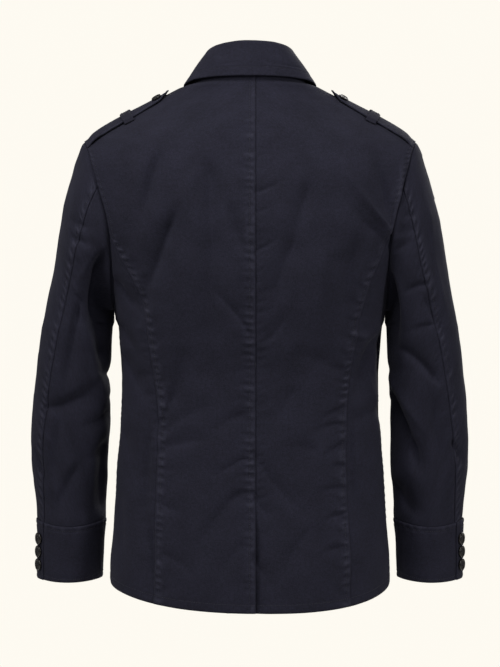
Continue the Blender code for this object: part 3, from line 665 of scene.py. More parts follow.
def sewRow(mesh, line, up, pitch=2.9, length=2.1, thick=0.42, skip=0.0, sink=0.12):
    # one row of stitches: small pods lying along the line
    row = bmesh.new()
    for centre, along, normal in zip(*stitchPlaces(line, up, pitch, skip)):
        side = np.cross(normal, along)
        place = centre + normal * (thick / 2 - sink)
        turned = Matrix((
            (along[0] * length, side[0] * thick, normal[0] * thick, place[0]),
            (along[1] * length, side[1] * thick, normal[1] * thick, place[1]),
            (along[2] * length, side[2] * thick, normal[2] * thick, place[2]),
            (0, 0, 0, 1)))
        bmesh.ops.create_uvsphere(row, u_segments=5, v_segments=4, radius=0.5, matrix=turned)
    held = bpy.data.meshes.new("row")
    row.to_mesh(held)
    row.free()
    mesh.from_mesh(held)
    bpy.data.meshes.remove(held)


def sewnPiece(name, mesh, material=navyThread):
    bmesh.ops.scale(mesh, verts=mesh.verts, vec=(mm, mm, mm))
    bmesh.ops.recalc_face_normals(mesh, faces=mesh.faces)
    data = bpy.data.meshes.new(name)
    mesh.to_mesh(data)
    mesh.free()
    data.shade_smooth()
    data.materials.append(material)
    piece = bpy.data.objects.new(name, data)
    bpy.context.scene.collection.objects.link(piece)
    finishPiece(piece)


def sideName(side):
    return "left" if side > 0 else "right"


# ---- back

back = {
    "columns": 84, "rows": (196, 124, 72), "dense": 11, "step": 1.35,
    "seamStitch": 7.8, "princessStitch": 6.2, "hemStitch": 11.2,
    "flat": (0.27, 0.77), "area": 0.148,
    "sideFlat": (0.13, 0.47), "sideArea": 0.0325,
    "creases": {"columns": creaseColumns, "rows": (
        (123, -106, 147, -206, 3, 8, 16, -8.0),
        (99, -184, 150, -322, 3, 19, 18, -11.0),
        (56, -118, 54, -236, -3, 16, 24, -8.5),
        (46, -206, 50, -440, 8, 26, 40, -8.0),
        (28, -172, 6, -246, 3, 7, 14, -4.4),
        (72, -130, 88, -196, 2, 12, 14, 2.0),
        (0, -346, 52, -286, 3, 9, 6, -3.0),
        (108, -440, 82, -360, -3, 16, 12, -3.0),
        (126, -468, 92, -392, 4, 10, 8, -3.0),
        (124, -500, 44, -484, -5, 10, 24, -4.0),
        (124, -476, 44, -436, -4, 13, 26, -3.6),
        (4, -450, 60, -480, 4, 13, 22, -2.6),
        (2, -506, 46, -532, 2, 5, 9, -2.4),
        (8, -548, 74, -634, 6, 12, 24, -3.6),
        (122, -566, 88, -580, 2, 5, 12, -2.2),
        (122, -632, 70, -662, -3, 10, 18, -2.8),
        (8, -616, 38, -662, 2, 9, 16, -2.2),
        (182, -272, 146, -318, 4, 5, 12, -5.5),
        (178, -330, 148, -372, 3, 6, 14, -4.4),
        (172, -372, 138, -430, 4, 6, 14, -5.0),
        (134, -470, 137, -616, 3, 14, 7, -5.5),
        (132, -596, 130, -690, -2, 12, 7, -4.5),
        (172, -470, 148, -548, 3, 7, 16, -3.2),
        (174, -560, 168, -670, 2, 6, 10, -2.4),
        (-184, -204, -116, -104, -8, 8, 8, 5.4),
        (-187, -204, -202, -108, 3, 6, 6, 4.0),
        (-184, -186, -164, -98, 3, 8, 9, -5.5),
        (-172, -214, -112, -140, -6, 12, 14, -2.2),
        (-188, -232, -150, -196, 3, 6, 8, -2.0),
        (-80, -146, -52, -262, 3, 18, 24, -6.0),
        (-56, -226, -30, -322, 3, 18, 24, -4.6),
        (-140, -224, -124, -338, 3, 14, 18, -5.0),
        (-98, -232, -90, -360, 2, 20, 18, 2.4),
        (-6, -160, -44, -142, 2, 5, 9, -2.4),
        (-6, -186, -34, -174, 2, 4, 8, -1.4),
        (-6, -238, -40, -216, 2, 5, 8, -1.8),
        (-20, -356, -50, -316, 3, 8, 14, -2.6),
        (-174, -348, -148, -424, 6, 14, 20, -8.5),
        (-136, -344, -166, -352, 2, 6, 8, 3.0),
        (-178, -444, -130, -464, 3, 14, 22, -4.4),
        (-162, -400, -170, -436, 2, 5, 6, 2.4),
        (-136, -474, -146, -606, 3, 18, 8, -4.4),
        (-4, -500, -74, -582, 6, 9, 18, -3.4),
        (-4, -552, -30, -590, 3, 5, 11, -2.6),
        (-4, -632, -26, -672, 2, 6, 14, -2.2),
        (-126, -546, -92, -553, 2, 4, 9, -2.2),
        (-126, -441, -94, -458, 2, 4, 9, -2.4),
        (-126, -463, -84, -474, 3, 5, 10, -2.0),
        (-126, -488, -98, -506, 2, 4, 9, -2.6),
        (-90, -500, -50, -492, 3, 14, 18, -2.6),
        (-126, -516, -104, -522, 1, 4, 8, -1.8),
        (-126, -580, -96, -592, 2, 4, 9, -2.2),
        (-128, -622, -92, -634, 2, 5, 12, -2.2),
        (-124, -398, -56, -370, 4, 20, 18, -2.2),
        (-60, -416, -30, -476, 3, 12, 20, -2.2),
        (-80, -600, -40, -668, 4, 12, 22, -2.6),
    )},
}


def backOffset(sheet, side):
    x, z = sheet["points"][..., 0] * side, sheet["points"][..., 2]
    seam, outer, along = sheet["start"], sheet["end"], sheet["along"]
    v = sheet["rows"][:, None]
    offset = creaseDepth(back["creases"], x, z) + crumple(x, z, 11)
    sewn = ease((body["neckBackZ"] - 24 - z) / 60) * 0.7 + 0.3 * ease((-200 - z) / 120)
    vent = ease((body["ventTopZ"] - z) / 60)
    if side > 0:
        offset += lapEdge(seam, 0.6, 9) + groove(seam, back["seamStitch"], 1.4, 0.35)
        offset += puckers(seam, z, 11.2, 0.66 * sewn * (1 - 0.6 * vent), 8.5, 7.5, 21)
        offset += puckers(seam, z, 25, 0.50 * sewn * (1 - 0.5 * vent), 16, 15, 24, slant=0.3)
        offset += 1.2 * vent ** 2 * np.exp(-(seam / 22) ** 2)
    else:
        offset -= 0.6 * np.exp(-(seam / 2.4) ** 2)
        offset += puckers(seam, z, 12, 0.36 * sewn * (1 - vent), 7, 6, 31, slant=-0.3)
        offset += puckers(seam, z, 26, 0.36 * sewn * (1 - 0.5 * vent), 14, 12, 34, slant=-0.35)
        offset -= 3.0 * vent ** 1.6 * np.exp(-(seam / 9) ** 2)
    junction = 2 - body["princessStation"] / body["stations"]
    low = ease((junction + 0.02 - v) / 0.06)
    hole = ease((v - junction) / 0.04) * ease((2.0 - v) / 0.10)
    edge = np.where(v <= 2, 1.0, 0.0)
    offset += edge * lapEdge(outer, 0.55, 9, 0.4)
    offset += groove(outer, back["princessStitch"], 1.3, 0.3) * edge
    offset += puckers(outer, along + 300 * (side < 0), 11.3, 0.72 * low, 6.8, 5.2, 41 + side)
    offset += puckers(outer, along, 24, 0.44 * low, 15, 12, 44 + side, slant=-0.45)
    near = 0.30 if side > 0 else 0.48
    offset += puckers(outer, along, 9.0, near * hole, 5, 5.5, 47 + side)
    offset += hemLift(along) + puckers(along, sheet["start"], 12, 0.3, 5, 6, 51 + side, slant=0.7)
    return offset


def hemLift(away):
    # the turned-up hem: doubled cloth below its stitching
    return (0.35 * ease((back["hemStitch"] - away + 2) / 4) + groove(away, back["hemStitch"], 1.3, 0.35)
            - 0.5 * np.exp(-(away / 1.0) ** 2))


def ridgeWear(sheet, fields, reach=12.0):
    # rubbed tops of the puckers and of the folded edges
    near = np.zeros_like(sheet["lift"])
    for field in fields:
        away = sheet[field]
        near = np.maximum(near, np.exp(-((away - 0.55 * reach) / (0.5 * reach)) ** 2))
    smooth = sheet["lift"]
    for _ in range(6):
        padded = np.pad(smooth, 2, mode="edge")
        smooth = (padded[:-4, 2:-2] + padded[4:, 2:-2] + padded[2:-2, :-4] + padded[2:-2, 4:]
                  + padded[2:-2, 2:-2]) / 5
    return np.clip((sheet["lift"] - smooth) * 1.1, 0, 0.7) * near


def mitreNormals(sheet, level):
    # in these rows the outer edge meets the body's other side, and both share one direction
    share = np.exp(-(sheet["end"] / 3.0) ** 2) * level[:, None]
    sheet["normals"][..., 1] *= 1 - share
    sheet["normals"] = unit(sheet["normals"])


def softenTip(sheet):
    # round off the kink that the rows have at the shoulder's tip
    tip = np.exp(-((sheet["rows"][:, None] - 2) / 0.16) ** 2) * ease(sheet["end"] / 40)
    soften(sheet["points"], 0.5 * tip[..., None])


def makeBack():
    stitches = bmesh.new()
    for side in (1, -1):
        rows = panelRows(*back["rows"])
        lap = -body["backLap"] if side > 0 else body["backLap"]
        starts = qAt(lap, rows, side, "back")
        sheet = layRows(lambda q, v: panelPlace(q, v, side, "back"), starts,
                        np.ones_like(rows), rows, back["columns"], back["dense"], back["step"])
        softenTip(sheet)
        sheet["normals"] = orient(gridNormals(sheet["points"]), np.array((0, 1.0, 0.6)))
        mitreNormals(sheet, rows >= 2)
        displace(sheet, backOffset(sheet, side))
        sheet["wear"] = ridgeWear(sheet, ("start", "end") if side > 0 else ("end",))
        mirror(sheet, side)
        hemRow(stitches, sheet)
        if side > 0:
            line, up = trace(sheet, "start", back["seamStitch"])
            sewRow(stitches, line, up, skip=14)
        line, up = trace(sheet, "end", back["princessStitch"])
        low = line[:, 2] < body["tipZ"] - 4
        sewRow(stitches, line[low], up[low], skip=13)
        if side < 0:
            sheet = tuckVent(sheet)
        clothPiece("back_%s_cloth" % sideName(side), sheet, clothWall["body"],
                   ["back_" + sideName(side)])
    sewnPiece("back_topstitching", stitches)
    print("back panels made")


def hemRow(mesh, sheet):
    line, up = trace(sheet, "along", back["hemStitch"], byColumn=True)
    sewRow(mesh, line, up, skip=1.0)


def tuckVent(sheet):
    # beneath the left back: a seam allowance above, the vent's underlap below
    z = sheet["points"][:, 0, 2]
    vent = ease((body["ventTopZ"] + 6 - z) / 8)
    place, normal = sheet["points"][:, 0], sheet["normals"][:, 0]
    wear = sheet.pop("wear")
    out = np.zeros_like(place)
    out[:, 0] = 1
    for share in (0.06, 0.25, 0.5, 0.75, 1.0):
        reach = share * lerp(6.0, body["ventUnderlap"] + 8, vent)
        sink = 1.9 * min(share / 0.06, 1)
        strip = place + out * reach[:, None] - normal * sink
        strip[:, 2] = place[:, 2]
        for name, values in (("points", strip), ("normals", normal)):
            sheet[name] = np.concatenate((values[:, None], sheet[name]), axis=1)
        for name in ("start", "end", "along", "lift"):
            sheet[name] = np.concatenate((sheet[name][:, :1] - (reach[:, None] if name == "start" else 0),
                                          sheet[name]), axis=1)
    extra = sheet["points"].shape[1] - wear.shape[1]
    sheet["wear"] = np.concatenate((np.zeros((wear.shape[0], extra)), wear), axis=1)
    return sheet


def sideBackOffset(sheet, side):
    x, z = sheet["points"][..., 0] * side, sheet["points"][..., 2]
    v = sheet["rows"][:, None]
    offset = creaseDepth(back["creases"], x, z) + crumple(x, z, 11)
    offset -= 0.6 * np.exp(-(sheet["start"] / 2.2) ** 2)
    offset += puckers(sheet["start"], sheet["along"], 12, 0.3, 6, 6, 61 + side)
    offset += puckers(sheet["start"], sheet["along"], 27, 0.4, 14, 12, 63 + side, slant=0.4)
    offset += lapEdge(sheet["end"], 0.4, 6, 0.3)
    offset += underarm(z) * sleeve["pressed"] * np.exp(-(sheet["end"] / 12) ** 2)
    offset += puckers(sheet["end"], sheet["along"], 9.5, 0.3 * ease((1.02 - v) / 0.05), 5, 5, 65 + side)
    return offset + hemLift(sheet["along"])


def makeSideBack():
    stitches = bmesh.new()
    junction = 2 - body["princessStation"] / body["stations"]
    for side in (1, -1):
        rows = panelRows(150, 90, 2, last=junction - 0.004)

        def surface(angle, v, side=side):
            return bodyPoint(angle, rowHeight(v, angle, "back", side), "back")

        ends = np.where(rows <= 1, pi / 2, armholeAngle(2 - rows, "back"))
        sheet = layRows(surface, princessAngle(rows, side), ends, rows, 32, 7, 1.6)
        sheet["normals"] = orient(gridNormals(sheet["points"]), np.array((1.0, 1.0, 0)))
        mitreNormals(sheet, rows <= 1)
        displace(sheet, sideBackOffset(sheet, side))
        mirror(sheet, side)
        hemRow(stitches, sheet)
        tuck(sheet, "start", 1.6)
        clothPiece("side_back_%s_cloth" % sideName(side), sheet, clothWall["body"],
                   ["side_back_" + sideName(side)])
    sewnPiece("side_back_topstitching", stitches)
    print("side backs made")


# ---- front

front = {
    "columns": 60, "rows": (120, 76, 44), "dense": 7, "step": 2.0,
    "edgeStitch": 7.0, "armholeStitch": 6.5, "flat": (0.33, 0.75), "area": 0.175,
    "creases": {"columns": creaseColumns, "rows": (
        (112, -186, 142, -290, 5, 13, 18, -6.1),
        (96, -196, 124, -300, 4, 12, 14, 2.0),
        (-106, -182, -140, -296, 5, 13, 18, -5.8),
        (84, -296, 70, -474, 6, 22, 26, -4.1),
        (-80, -306, -72, -454, 6, 22, 26, -3.9),
        (60, -556, 102, -644, 5, 14, 20, -3.4),
        (-64, -536, -98, -644, 5, 14, 20, -3.4),
        (150, -130, 128, -196, 4, 10, 14, -2.5),
        (-158, -124, -132, -192, 4, 10, 14, -2.4),
        (40, -212, 24, -262, 2, 9, 12, -2.0),
        (38, -324, 20, -362, 2, 8, 11, -1.9),
        (-44, -216, -24, -268, 2, 9, 12, -1.9),
        (-40, -436, -22, -470, 2, 9, 12, -1.9),
        (120, -430, 60, -446, 3, 12, 15, -2.2),
        (-124, -446, -66, -436, 3, 12, 15, -2.0),
        (130, -600, 112, -660, 3, 12, 15, -1.9),
    )},
}


def frontOffset(sheet, side):
    x, z = sheet["points"][..., 0] * side, sheet["points"][..., 2]
    v = sheet["rows"][:, None]
    start, end, along = sheet["start"], sheet["end"], sheet["along"]
    offset = creaseDepth(front["creases"], x, z) + crumple(x, z, 71)
    if side > 0:
        offset += lapEdge(start, 0.6, 9) + groove(start, front["edgeStitch"], 1.3, 0.3)
        offset += puckers(start, z, 10.5, 0.35, 6.5, 6, 73)
        offset += puckers(start, z, 24, 0.4, 15, 14, 74, slant=0.3)
    else:
        offset -= 0.8 * np.exp(-(start / 2.6) ** 2)
    offset -= 0.9 * np.exp(-(end / 2.4) ** 2) * ease((1.04 - v) / 0.05)
    hole = ease((v - 1.02) / 0.04) * ease((1.96 - v) / 0.1)
    offset += lapEdge(end, 0.55, 8, 0.4) * ease((v - 1.02) / 0.03) * ease((2.0 - v) / 0.03)
    offset += puckers(end, along, 9, 0.35 * hole, 5, 5.5, 77 + side)
    return offset + hemLift(along) + puckers(along, start, 12, 0.3, 5, 6, 81 + side, slant=0.7)


def frontSheet(side):
    rows = panelRows(*front["rows"])
    lap = -body["frontLap"] if side > 0 else body["frontLap"]
    starts = qAt(lap, rows, side, "front")
    sheet = layRows(lambda q, v: panelPlace(q, v, side, "front"), starts,
                    np.ones_like(rows), rows, front["columns"], front["dense"], front["step"])
    softenTip(sheet)
    sheet["normals"] = orient(gridNormals(sheet["points"]), np.array((0, -1.0, 0.6)))
    mitreNormals(sheet, (rows <= 1) | (rows >= 2))
    displace(sheet, frontOffset(sheet, side))
    return mirror(sheet, side)


def makeFront():
    stitches = bmesh.new()
    for side in (1, -1):
        sheet = frontSheet(side)
        hemRow(stitches, sheet)
        if side > 0:
            sewRow(stitches, *trace(sheet, "start", front["edgeStitch"]), skip=3)
        line, up = trace(sheet, "end", front["armholeStitch"])
        hole = (line[:, 2] > body["underarmZ"] + 6) & (line[:, 2] < body["tipZ"] - 6)
        sewRow(stitches, line[hole], up[hole])
        if side < 0:
            out = np.array((1.0, 0, 0))
            tuck(sheet, "start", 2.1, (1.0, 5.0, 9.0, body["frontUnderlap"]), out)
        lower = sheet["rows"] <= 1
        sheet = tuckSide(sheet, lower)
        clothPiece("front_%s_cloth" % sideName(side), sheet, clothWall["body"],
                   ["front_" + sideName(side)])
    sewnPiece("front_topstitching", stitches)
    print("fronts made")


def tuckSide(sheet, lower):
    # the side seam's allowance, beneath the side back; elsewhere the edge stays as it is
    place, normal = sheet["points"][:, -1], sheet["normals"][:, -1]
    out = unit(place - sheet["points"][:, -2])
    for reach in (1.0, 3.0, 5.0):
        share = lower[:, None] * 1.0
        strip = place + (out * reach - normal * 1.6) * share + (1 - share) * out * 0.02 * reach
        sheet["points"] = np.concatenate((sheet["points"], strip[:, None]), axis=1)
        sheet["normals"] = np.concatenate((sheet["normals"], normal[:, None]), axis=1)
        for name in ("start", "end", "along", "lift"):
            sheet[name] = np.concatenate((sheet[name], sheet[name][:, -1:]), axis=1)
    return sheet


# ---- sleeves; turn is in half turns: 0 outside, 0.5 back, 1 inside, 1.5 front

sleeve = {
    "ringZ": -335.0, "headStart": (0.40, 0.22, -0.80), "headEnd": (0.23, -0.03, -1.05),
    "clear": 1.2, "clearTop": 1.0, "clearBack": 0.25,
    "cuffTopZ": -596.0, "cuffTopDip": 9.0, "headSink": 3.0, "pressed": 2.2,
    "columns": {"top": 48, "under": 58}, "headRows": 104, "armRows": 130, "dense": 8, "step": 1.6,
    "topFlat": (0.25, 0.66), "topArea": 0.120, "underFlat": (0.20, 0.60), "underArea": 0.078,
    "seamStitch": 6.4, "seamSkip": 8,  # rows without stitches below the armhole
    "back": {"columns": creaseColumns, "rows": (
        (189, -226, 236, -280, 2, 4, 5, 3.0),
        (237, -280, 198, -390, 0, 4, 6, 2.4),
        (186, -400, 194, -236, -2, 14, 30, -15.0),
        (196, -240, 190, -340, 2, 36, 14, -14.0),
        (228, -300, 250, -436, 3, 7, 18, -7.5),
        (234, -292, 222, -306, 1, 4, 4, -2.4),
        (272, -444, 188, -400, 8, 26, 12, -8.0),
        (184, -444, 222, -470, -4, 8, 20, -4.4),
        (184, -488, 224, -514, -4, 8, 16, -3.0),
        (184, -486, 200, -604, 3, 24, 12, -9.0),
        (292, -500, 274, -548, 2, 5, 10, -3.6),
        (262, -176, 274, -280, 2, 8, 20, -4.4),
        (244, -192, 200, -206, 2, 6, 12, -3.0),
        (240, -214, 196, -232, 2, 6, 14, -3.4),
        (256, -452, 266, -572, 3, 8, 20, -3.4),
        (232, -520, 262, -588, 3, 7, 18, -4.4),
        (-182, -190, -222, -183, 2, 5, 12, -3.8),
        (-182, -206, -224, -206, 2, 5, 12, -4.2),
        (-184, -232, -218, -220, 2, 6, 12, -4.4),
        (-180, -246, -194, -362, -6, 18, 5, -11.0),
        (-186, -250, -204, -334, -5, 5, 5, 3.0),
        (-252, -411, -194, -360, 3, 14, 5, -8.0),
        (-236, -277, -206, -289, 2, 5, 6, -4.0),
        (-246, -332, -212, -342, 2, 5, 8, -3.0),
        (-240, -178, -268, -340, 2, 7, 4, 2.4),
        (-188, -420, -232, -520, 4, 26, 6, -11.0),
        (-188, -396, -240, -484, 5, 6, 8, 3.6),
        (-218, -490, -230, -540, 2, 8, 16, -5.0),
        (-194, -546, -228, -598, 3, 7, 20, -6.0),
        (-272, -488, -294, -524, 1, 5, 10, -3.6),
        (-232, -296, -268, -350, 3, 8, 18, -4.0),
        (-244, -424, -266, -548, 3, 8, 22, -4.4),
        (-236, -196, -262, -290, 3, 9, 20, -4.0),
    )},
    "front": {"columns": creaseColumns, "rows": (
        (186, -236, 220, -286, 3, 8, 14, -7.6),
        (218, -284, 202, -372, -5, 14, 9, -7.6),
        (188, -398, 236, -420, 3, 9, 12, -6.1),
        (190, -430, 250, -470, 4, 9, 12, -5.4),
        (206, -500, 236, -560, 3, 12, 14, -4.1),
        (258, -300, 262, -420, 3, 12, 14, -2.7),
        (-188, -240, -220, -290, 3, 8, 14, -7.1),
        (-216, -288, -200, -376, -5, 14, 9, -7.1),
        (-188, -402, -240, -436, 3, 9, 12, -6.1),
        (-192, -436, -244, -486, 4, 9, 12, -5.1),
        (-208, -506, -232, -566, 3, 12, 14, -3.7),
        (-258, -296, -262, -416, 3, 12, 14, -2.5),
    )},
}
arm = tableCurves({
    "columns": ("z", "outer", "inner", "middle", "depth"),
    "rows": (
        (-690, 290.5, 203, -28, 46), (-653, 290.5, 201.5, -26, 46), (-625, 290, 200, -24, 46),
        (-598, 291, 197.5, -22, 47), (-571, 293, 196, -20, 48.5), (-544, 296, 193.5, -17.5, 50),
        (-517, 298.5, 191.8, -15, 51), (-489, 298.3, 191, -12.5, 52.5),
        (-462, 296.7, 189.6, -10, 54), (-435, 295, 189, -8, 55.5), (-408, 292, 189, -6, 57),
        (-394, 290.5, 190, -5, 57.5), (-381, 289, 187.9, -4.5, 58.5),
        (-367, 287.3, 186.6, -4, 59.5), (-335, 283, 184.4, -3, 62),
    ),
})
backSeam = tableCurves({
    "columns": ("z", "turn"),
    "rows": ((-605, 0.232), (-567, 0.246), (-486, 0.281), (-335, 0.352)),
})


seamTurn = smoothCurve((0, 0.25, 0.6, 1.0, 1.5, 2.0), (0.0, 0.03, 0.06, 0.045, 0.03, 0.01))


def sleeveRing(turn, z):
    outer, inner = arm["outer"](z), arm["inner"](z)
    x = (outer + inner) / 2 + (outer - inner) / 2 * np.cos(turn * pi)
    return stack(x, arm["middle"](z) + arm["depth"](z) * np.sin(turn * pi), z)


def armholePlace(turn):
    behind = turn <= 1
    t = np.where(behind, turn, 2 - turn)
    z = armholeZ(t)
    rear = bodyPoint(armholeAngle(t, "back"), z, "back")
    fore = bodyPoint(armholeAngle(t, "front"), z, "front")
    return np.where(behind[..., None], rear, fore)


def sleevePlace(turn, s):
    turn, s = np.broadcast_arrays(np.asarray(turn, float) % 2, np.asarray(s, float))
    start, end = armholePlace(turn), sleeveRing(turn, np.full_like(turn, sleeve["ringZ"]))
    reach = np.linalg.norm(end - start, axis=-1)
    a, b, c = sleeve["headStart"]
    leave = stack(np.full_like(turn, a), b * np.sin(turn * pi), np.full_like(turn, c))
    arrive = np.array(sleeve["headEnd"])
    clear = stack(sleeve["clear"] + sleeve["clearTop"] * np.maximum(np.cos(turn * pi), 0) ** 2,
                  sleeve["clearBack"] * np.sin(turn * pi), 0 * turn)
    head = hermite(start + clear, leave * reach[..., None], end, arrive * reach[..., None],
                   np.clip(s, 0, 1)[..., None])
    bottom = sleeve["cuffTopZ"] - sleeve["cuffTopDip"] * np.sin(turn * pi) ** 2
    lower = sleeveRing(turn, lerp(sleeve["ringZ"], bottom, np.clip(s - 1, 0, 1)))
    return np.where((s <= 1)[..., None], head, lower)


def sleeveSeams(s, side):
    # the right sleeve hangs turned a little, so its seam shows further in
    station = body["sleeveSeamStation"] / body["stations"]
    turned = seamTurn(s) if side < 0 else 0.0
    upper = lerp(station, backSeam["turn"](sleeve["ringZ"]), ease(s))
    lower = backSeam["turn"](lerp(sleeve["ringZ"], sleeve["cuffTopZ"], np.clip(s - 1, 0, 1)))
    return (np.where(s > 1, lower, upper) + turned,
            2 - body["sleeveFrontStation"] / body["stations"])


def underarm(z):
    # where the sleeve and the body press together, just below the armhole
    return ease((z + 336) / 10) * ease((-302 - z) / 8)


def sleeveOffset(sheet, side, top):
    turn = sheet["param"] % 2
    s = sheet["rows"][:, None]
    x, z = sheet["points"][..., 0] * side, sheet["points"][..., 2]
    start, end, down = sheet["start"], sheet["end"], sheet["along"]
    quiet = ease((s - 0.02) / 0.16) * ease((2 - s) / 0.08)
    rear = ease(0.5 + 1.6 * np.sin(turn * pi))
    offset = creaseDepth(sleeve["back"], x, z) * rear * quiet
    offset += creaseDepth(sleeve["front"], x, z) * (1 - rear) * quiet
    offset += crumple(turn * 160 + 500 * side, z, 91)
    seed = 101 + side + 4 * top
    if top:
        sewn = ease((s - 0.01) / 0.06)
        offset += lapEdge(end, 0.55, 9) * ease(s / 0.03)
        offset += groove(end, sleeve["seamStitch"], 1.3, 0.3)
        offset += puckers(end, down, 11.6, 0.86 * sewn, 5.8, 4.8, seed)
        offset += puckers(end, down, 25, 0.38 * sewn, 15, 11, seed + 3, slant=0.2)
    else:
        offset -= 0.6 * np.exp(-(start / 2.2) ** 2)
        offset += puckers(start, down, 14, 0.32, 7, 6, seed)
        offset += puckers(start, down, 27, 0.42, 14, 13, seed + 3, slant=-0.4)
        offset += lapEdge(end, 0.3, 5, 0.1)
    offset += underarm(z) * sleeve["pressed"] * np.exp(-((turn - 1) / 0.14) ** 2)
    outside = np.maximum(np.cos(turn * pi), 0) ** 2
    offset -= sleeve["headSink"] * outside * np.exp(-((s - 0.24) / 0.18) ** 2)
    sunk = lerp(1.0, 1.9, rear)
    return offset - sunk * np.exp(-(down / 2.2) ** 2) - 0.6 * np.exp(-(down / 9) ** 2)


def makeSleeves():
    stitches = bmesh.new()
    rows = np.concatenate((np.linspace(0, 1, sleeve["headRows"] + 1),
                           np.linspace(1, 2, sleeve["armRows"] + 1)[1:]))
    for side in (1, -1):
        backEdge, frontEdge = sleeveSeams(rows, side)
        for name, top in (("top_sleeve", True), ("under_sleeve", False)):
            key = "top" if top else "under"
            starts = np.full_like(rows, frontEdge - 2) if top else backEdge
            ends = backEdge if top else np.full_like(rows, frontEdge)
            sheet = layRows(sleevePlace, starts, ends, rows,
                            sleeve["columns"][key], sleeve["dense"], sleeve["step"])
            turn = sheet["param"]
            away = stack(np.cos(turn * pi), np.sin(turn * pi), 0 * turn)
            sheet["normals"] = orient(gridNormals(sheet["points"]), away)
            displace(sheet, sleeveOffset(sheet, side, top))
            mirror(sheet, side)
            if top:
                sheet["wear"] = ridgeWear(sheet, ("end",))
                line, up = trace(sheet, "end", sleeve["seamStitch"])
                sewRow(stitches, line[sleeve["seamSkip"]:], up[sleeve["seamSkip"]:])
            sheet = sleeveTucks(sheet, side, top)
            clothPiece("%s_%s_cloth" % (name, sideName(side)), sheet, clothWall["body"],
                       ["%s_%s" % (name, sideName(side))])
    sewnPiece("sleeve_topstitching", stitches)
    print("sleeves made")


def sleeveTucks(sheet, side, top):
    # into the armhole above, under the cuff below, and under the top sleeve at the seams
    wear = sheet.pop("wear", None)
    turn = sheet["param"][0] % 2
    drift = stack(-0.86 + 0 * turn, -0.34 * np.sin(turn * pi), -0.36 * np.cos(turn * pi))
    drift[..., 0] *= side
    tuck(sheet, "bottom", -1.3, (2.6, 9.0), drift)
    tuck(sheet, "top", 0.9, (1.2, 5.0), np.array((0, 0, -1.0)))
    if wear is not None:
        wear = np.pad(wear, ((2, 2), (0, 0)), mode="edge")
    if not top:
        tuck(sheet, "start", 1.6, (1.0, 3.0, 6.0))
        tuck(sheet, "end", 1.5, (1.0, 3.0, 6.0))
    if wear is not None:
        sheet["wear"] = wear
    return sheet


# ---- cuffs

cuff = {
    "topZ": -596.0, "topDip": 9.0, "bottomZ": -677.0, "bottomDip": 4.0, "proud": 1.0,
    "lapTurn": 0.232, "columns": 150, "rows": 36, "stitch": 6.4, "lapStitch": 5.0,
    "halfRound": 150, "flat": (0.31, 0.085), "area": 0.0245,
    "buttonTurn": 0.165, "buttonZ": (-622.5, -640.0, -657.5),
    "creases": {"columns": creaseColumns, "rows": (
        (20, -600, 24, -668, 2, 9, 12, -0.8),
        (80, -604, 70, -670, 3, 10, 13, -0.9),
        (118, -610, 126, -668, 3, 10, 12, -0.8),
        (200, -604, 190, -668, 3, 12, 12, -0.8),
        (262, -606, 270, -668, 3, 12, 12, -0.7),
    )},
}


def cuffPlace(turn, s):
    dip = np.sin(turn * pi) ** 2
    top = cuff["topZ"] - cuff["topDip"] * dip
    bottom = cuff["bottomZ"] - cuff["bottomDip"] * dip
    return sleeveRing(turn % 2, lerp(top, bottom, s))


def cuffSheet(side):
    rows = np.linspace(0, 1, cuff["rows"] + 1)
    full = np.full_like(rows, cuff["lapTurn"])
    sheet = layRows(cuffPlace, full, full + 2, rows, cuff["columns"], 6, 1.2)
    turn = sheet["param"]
    away = stack(np.cos(turn * pi), np.sin(turn * pi), 0 * turn)
    sheet["normals"] = orient(gridNormals(sheet["points"]), away)
    x, z = turn * cuff["halfRound"], sheet["points"][..., 2]
    down = sheet["along"]
    up = down[-1:] - down
    offset = cuff["proud"] + 0.7 * crumple(x + 300 * side, z, 131)
    offset = offset + groove(down, cuff["stitch"], 1.4, 0.75) + groove(up, cuff["stitch"], 1.2, 0.4)
    offset += puckers(down, sheet["start"], 10.5, 0.32, 5, 5.5, 133 + side, slant=0.3)
    offset += puckers(up, sheet["start"], 12, 0.26, 5, 5.5, 137 + side, slant=0.3)
    offset -= 0.5 * np.exp(-(down / 1.1) ** 2) + 0.5 * np.exp(-(up / 1.1) ** 2)
    offset += 1.5 * np.exp(-(sheet["end"] / 30) ** 2) - 0.4 * np.exp(-(sheet["end"] / 0.9) ** 2)
    offset += groove(sheet["end"], cuff["lapStitch"], 1.1, 0.25)
    offset += creaseDepth(cuff["creases"], x, z)
    displace(sheet, offset)
    return sheet


def makeCuffs():
    stitches = bmesh.new()
    for side in (1, -1):
        sheet = mirror(cuffSheet(side), side)
        wear = ridgeWear(sheet, ("along",), 9)
        sewRow(stitches, *trace(sheet, "along", cuff["stitch"], byColumn=True), skip=1)
        bottom = float(sheet["along"][-1].mean()) - cuff["stitch"]
        sewRow(stitches, *trace(sheet, "along", bottom, byColumn=True), skip=1)
        sewRow(stitches, *trace(sheet, "end", cuff["lapStitch"]), skip=2)
        tuck(sheet, "start", 0.4, (1.0, 6.0, 14.0))
        sheet["wear"] = np.pad(wear, ((0, 0), (3, 0)), mode="edge")
        clothPiece("cuff_%s_cloth" % sideName(side), sheet, clothWall["cuff"],
                   ["cuff_" + sideName(side)])
    sewnPiece("cuff_topstitching", stitches)
    print("cuffs made")


# ---- collar; turn is the angle round the neck, 0 at the back

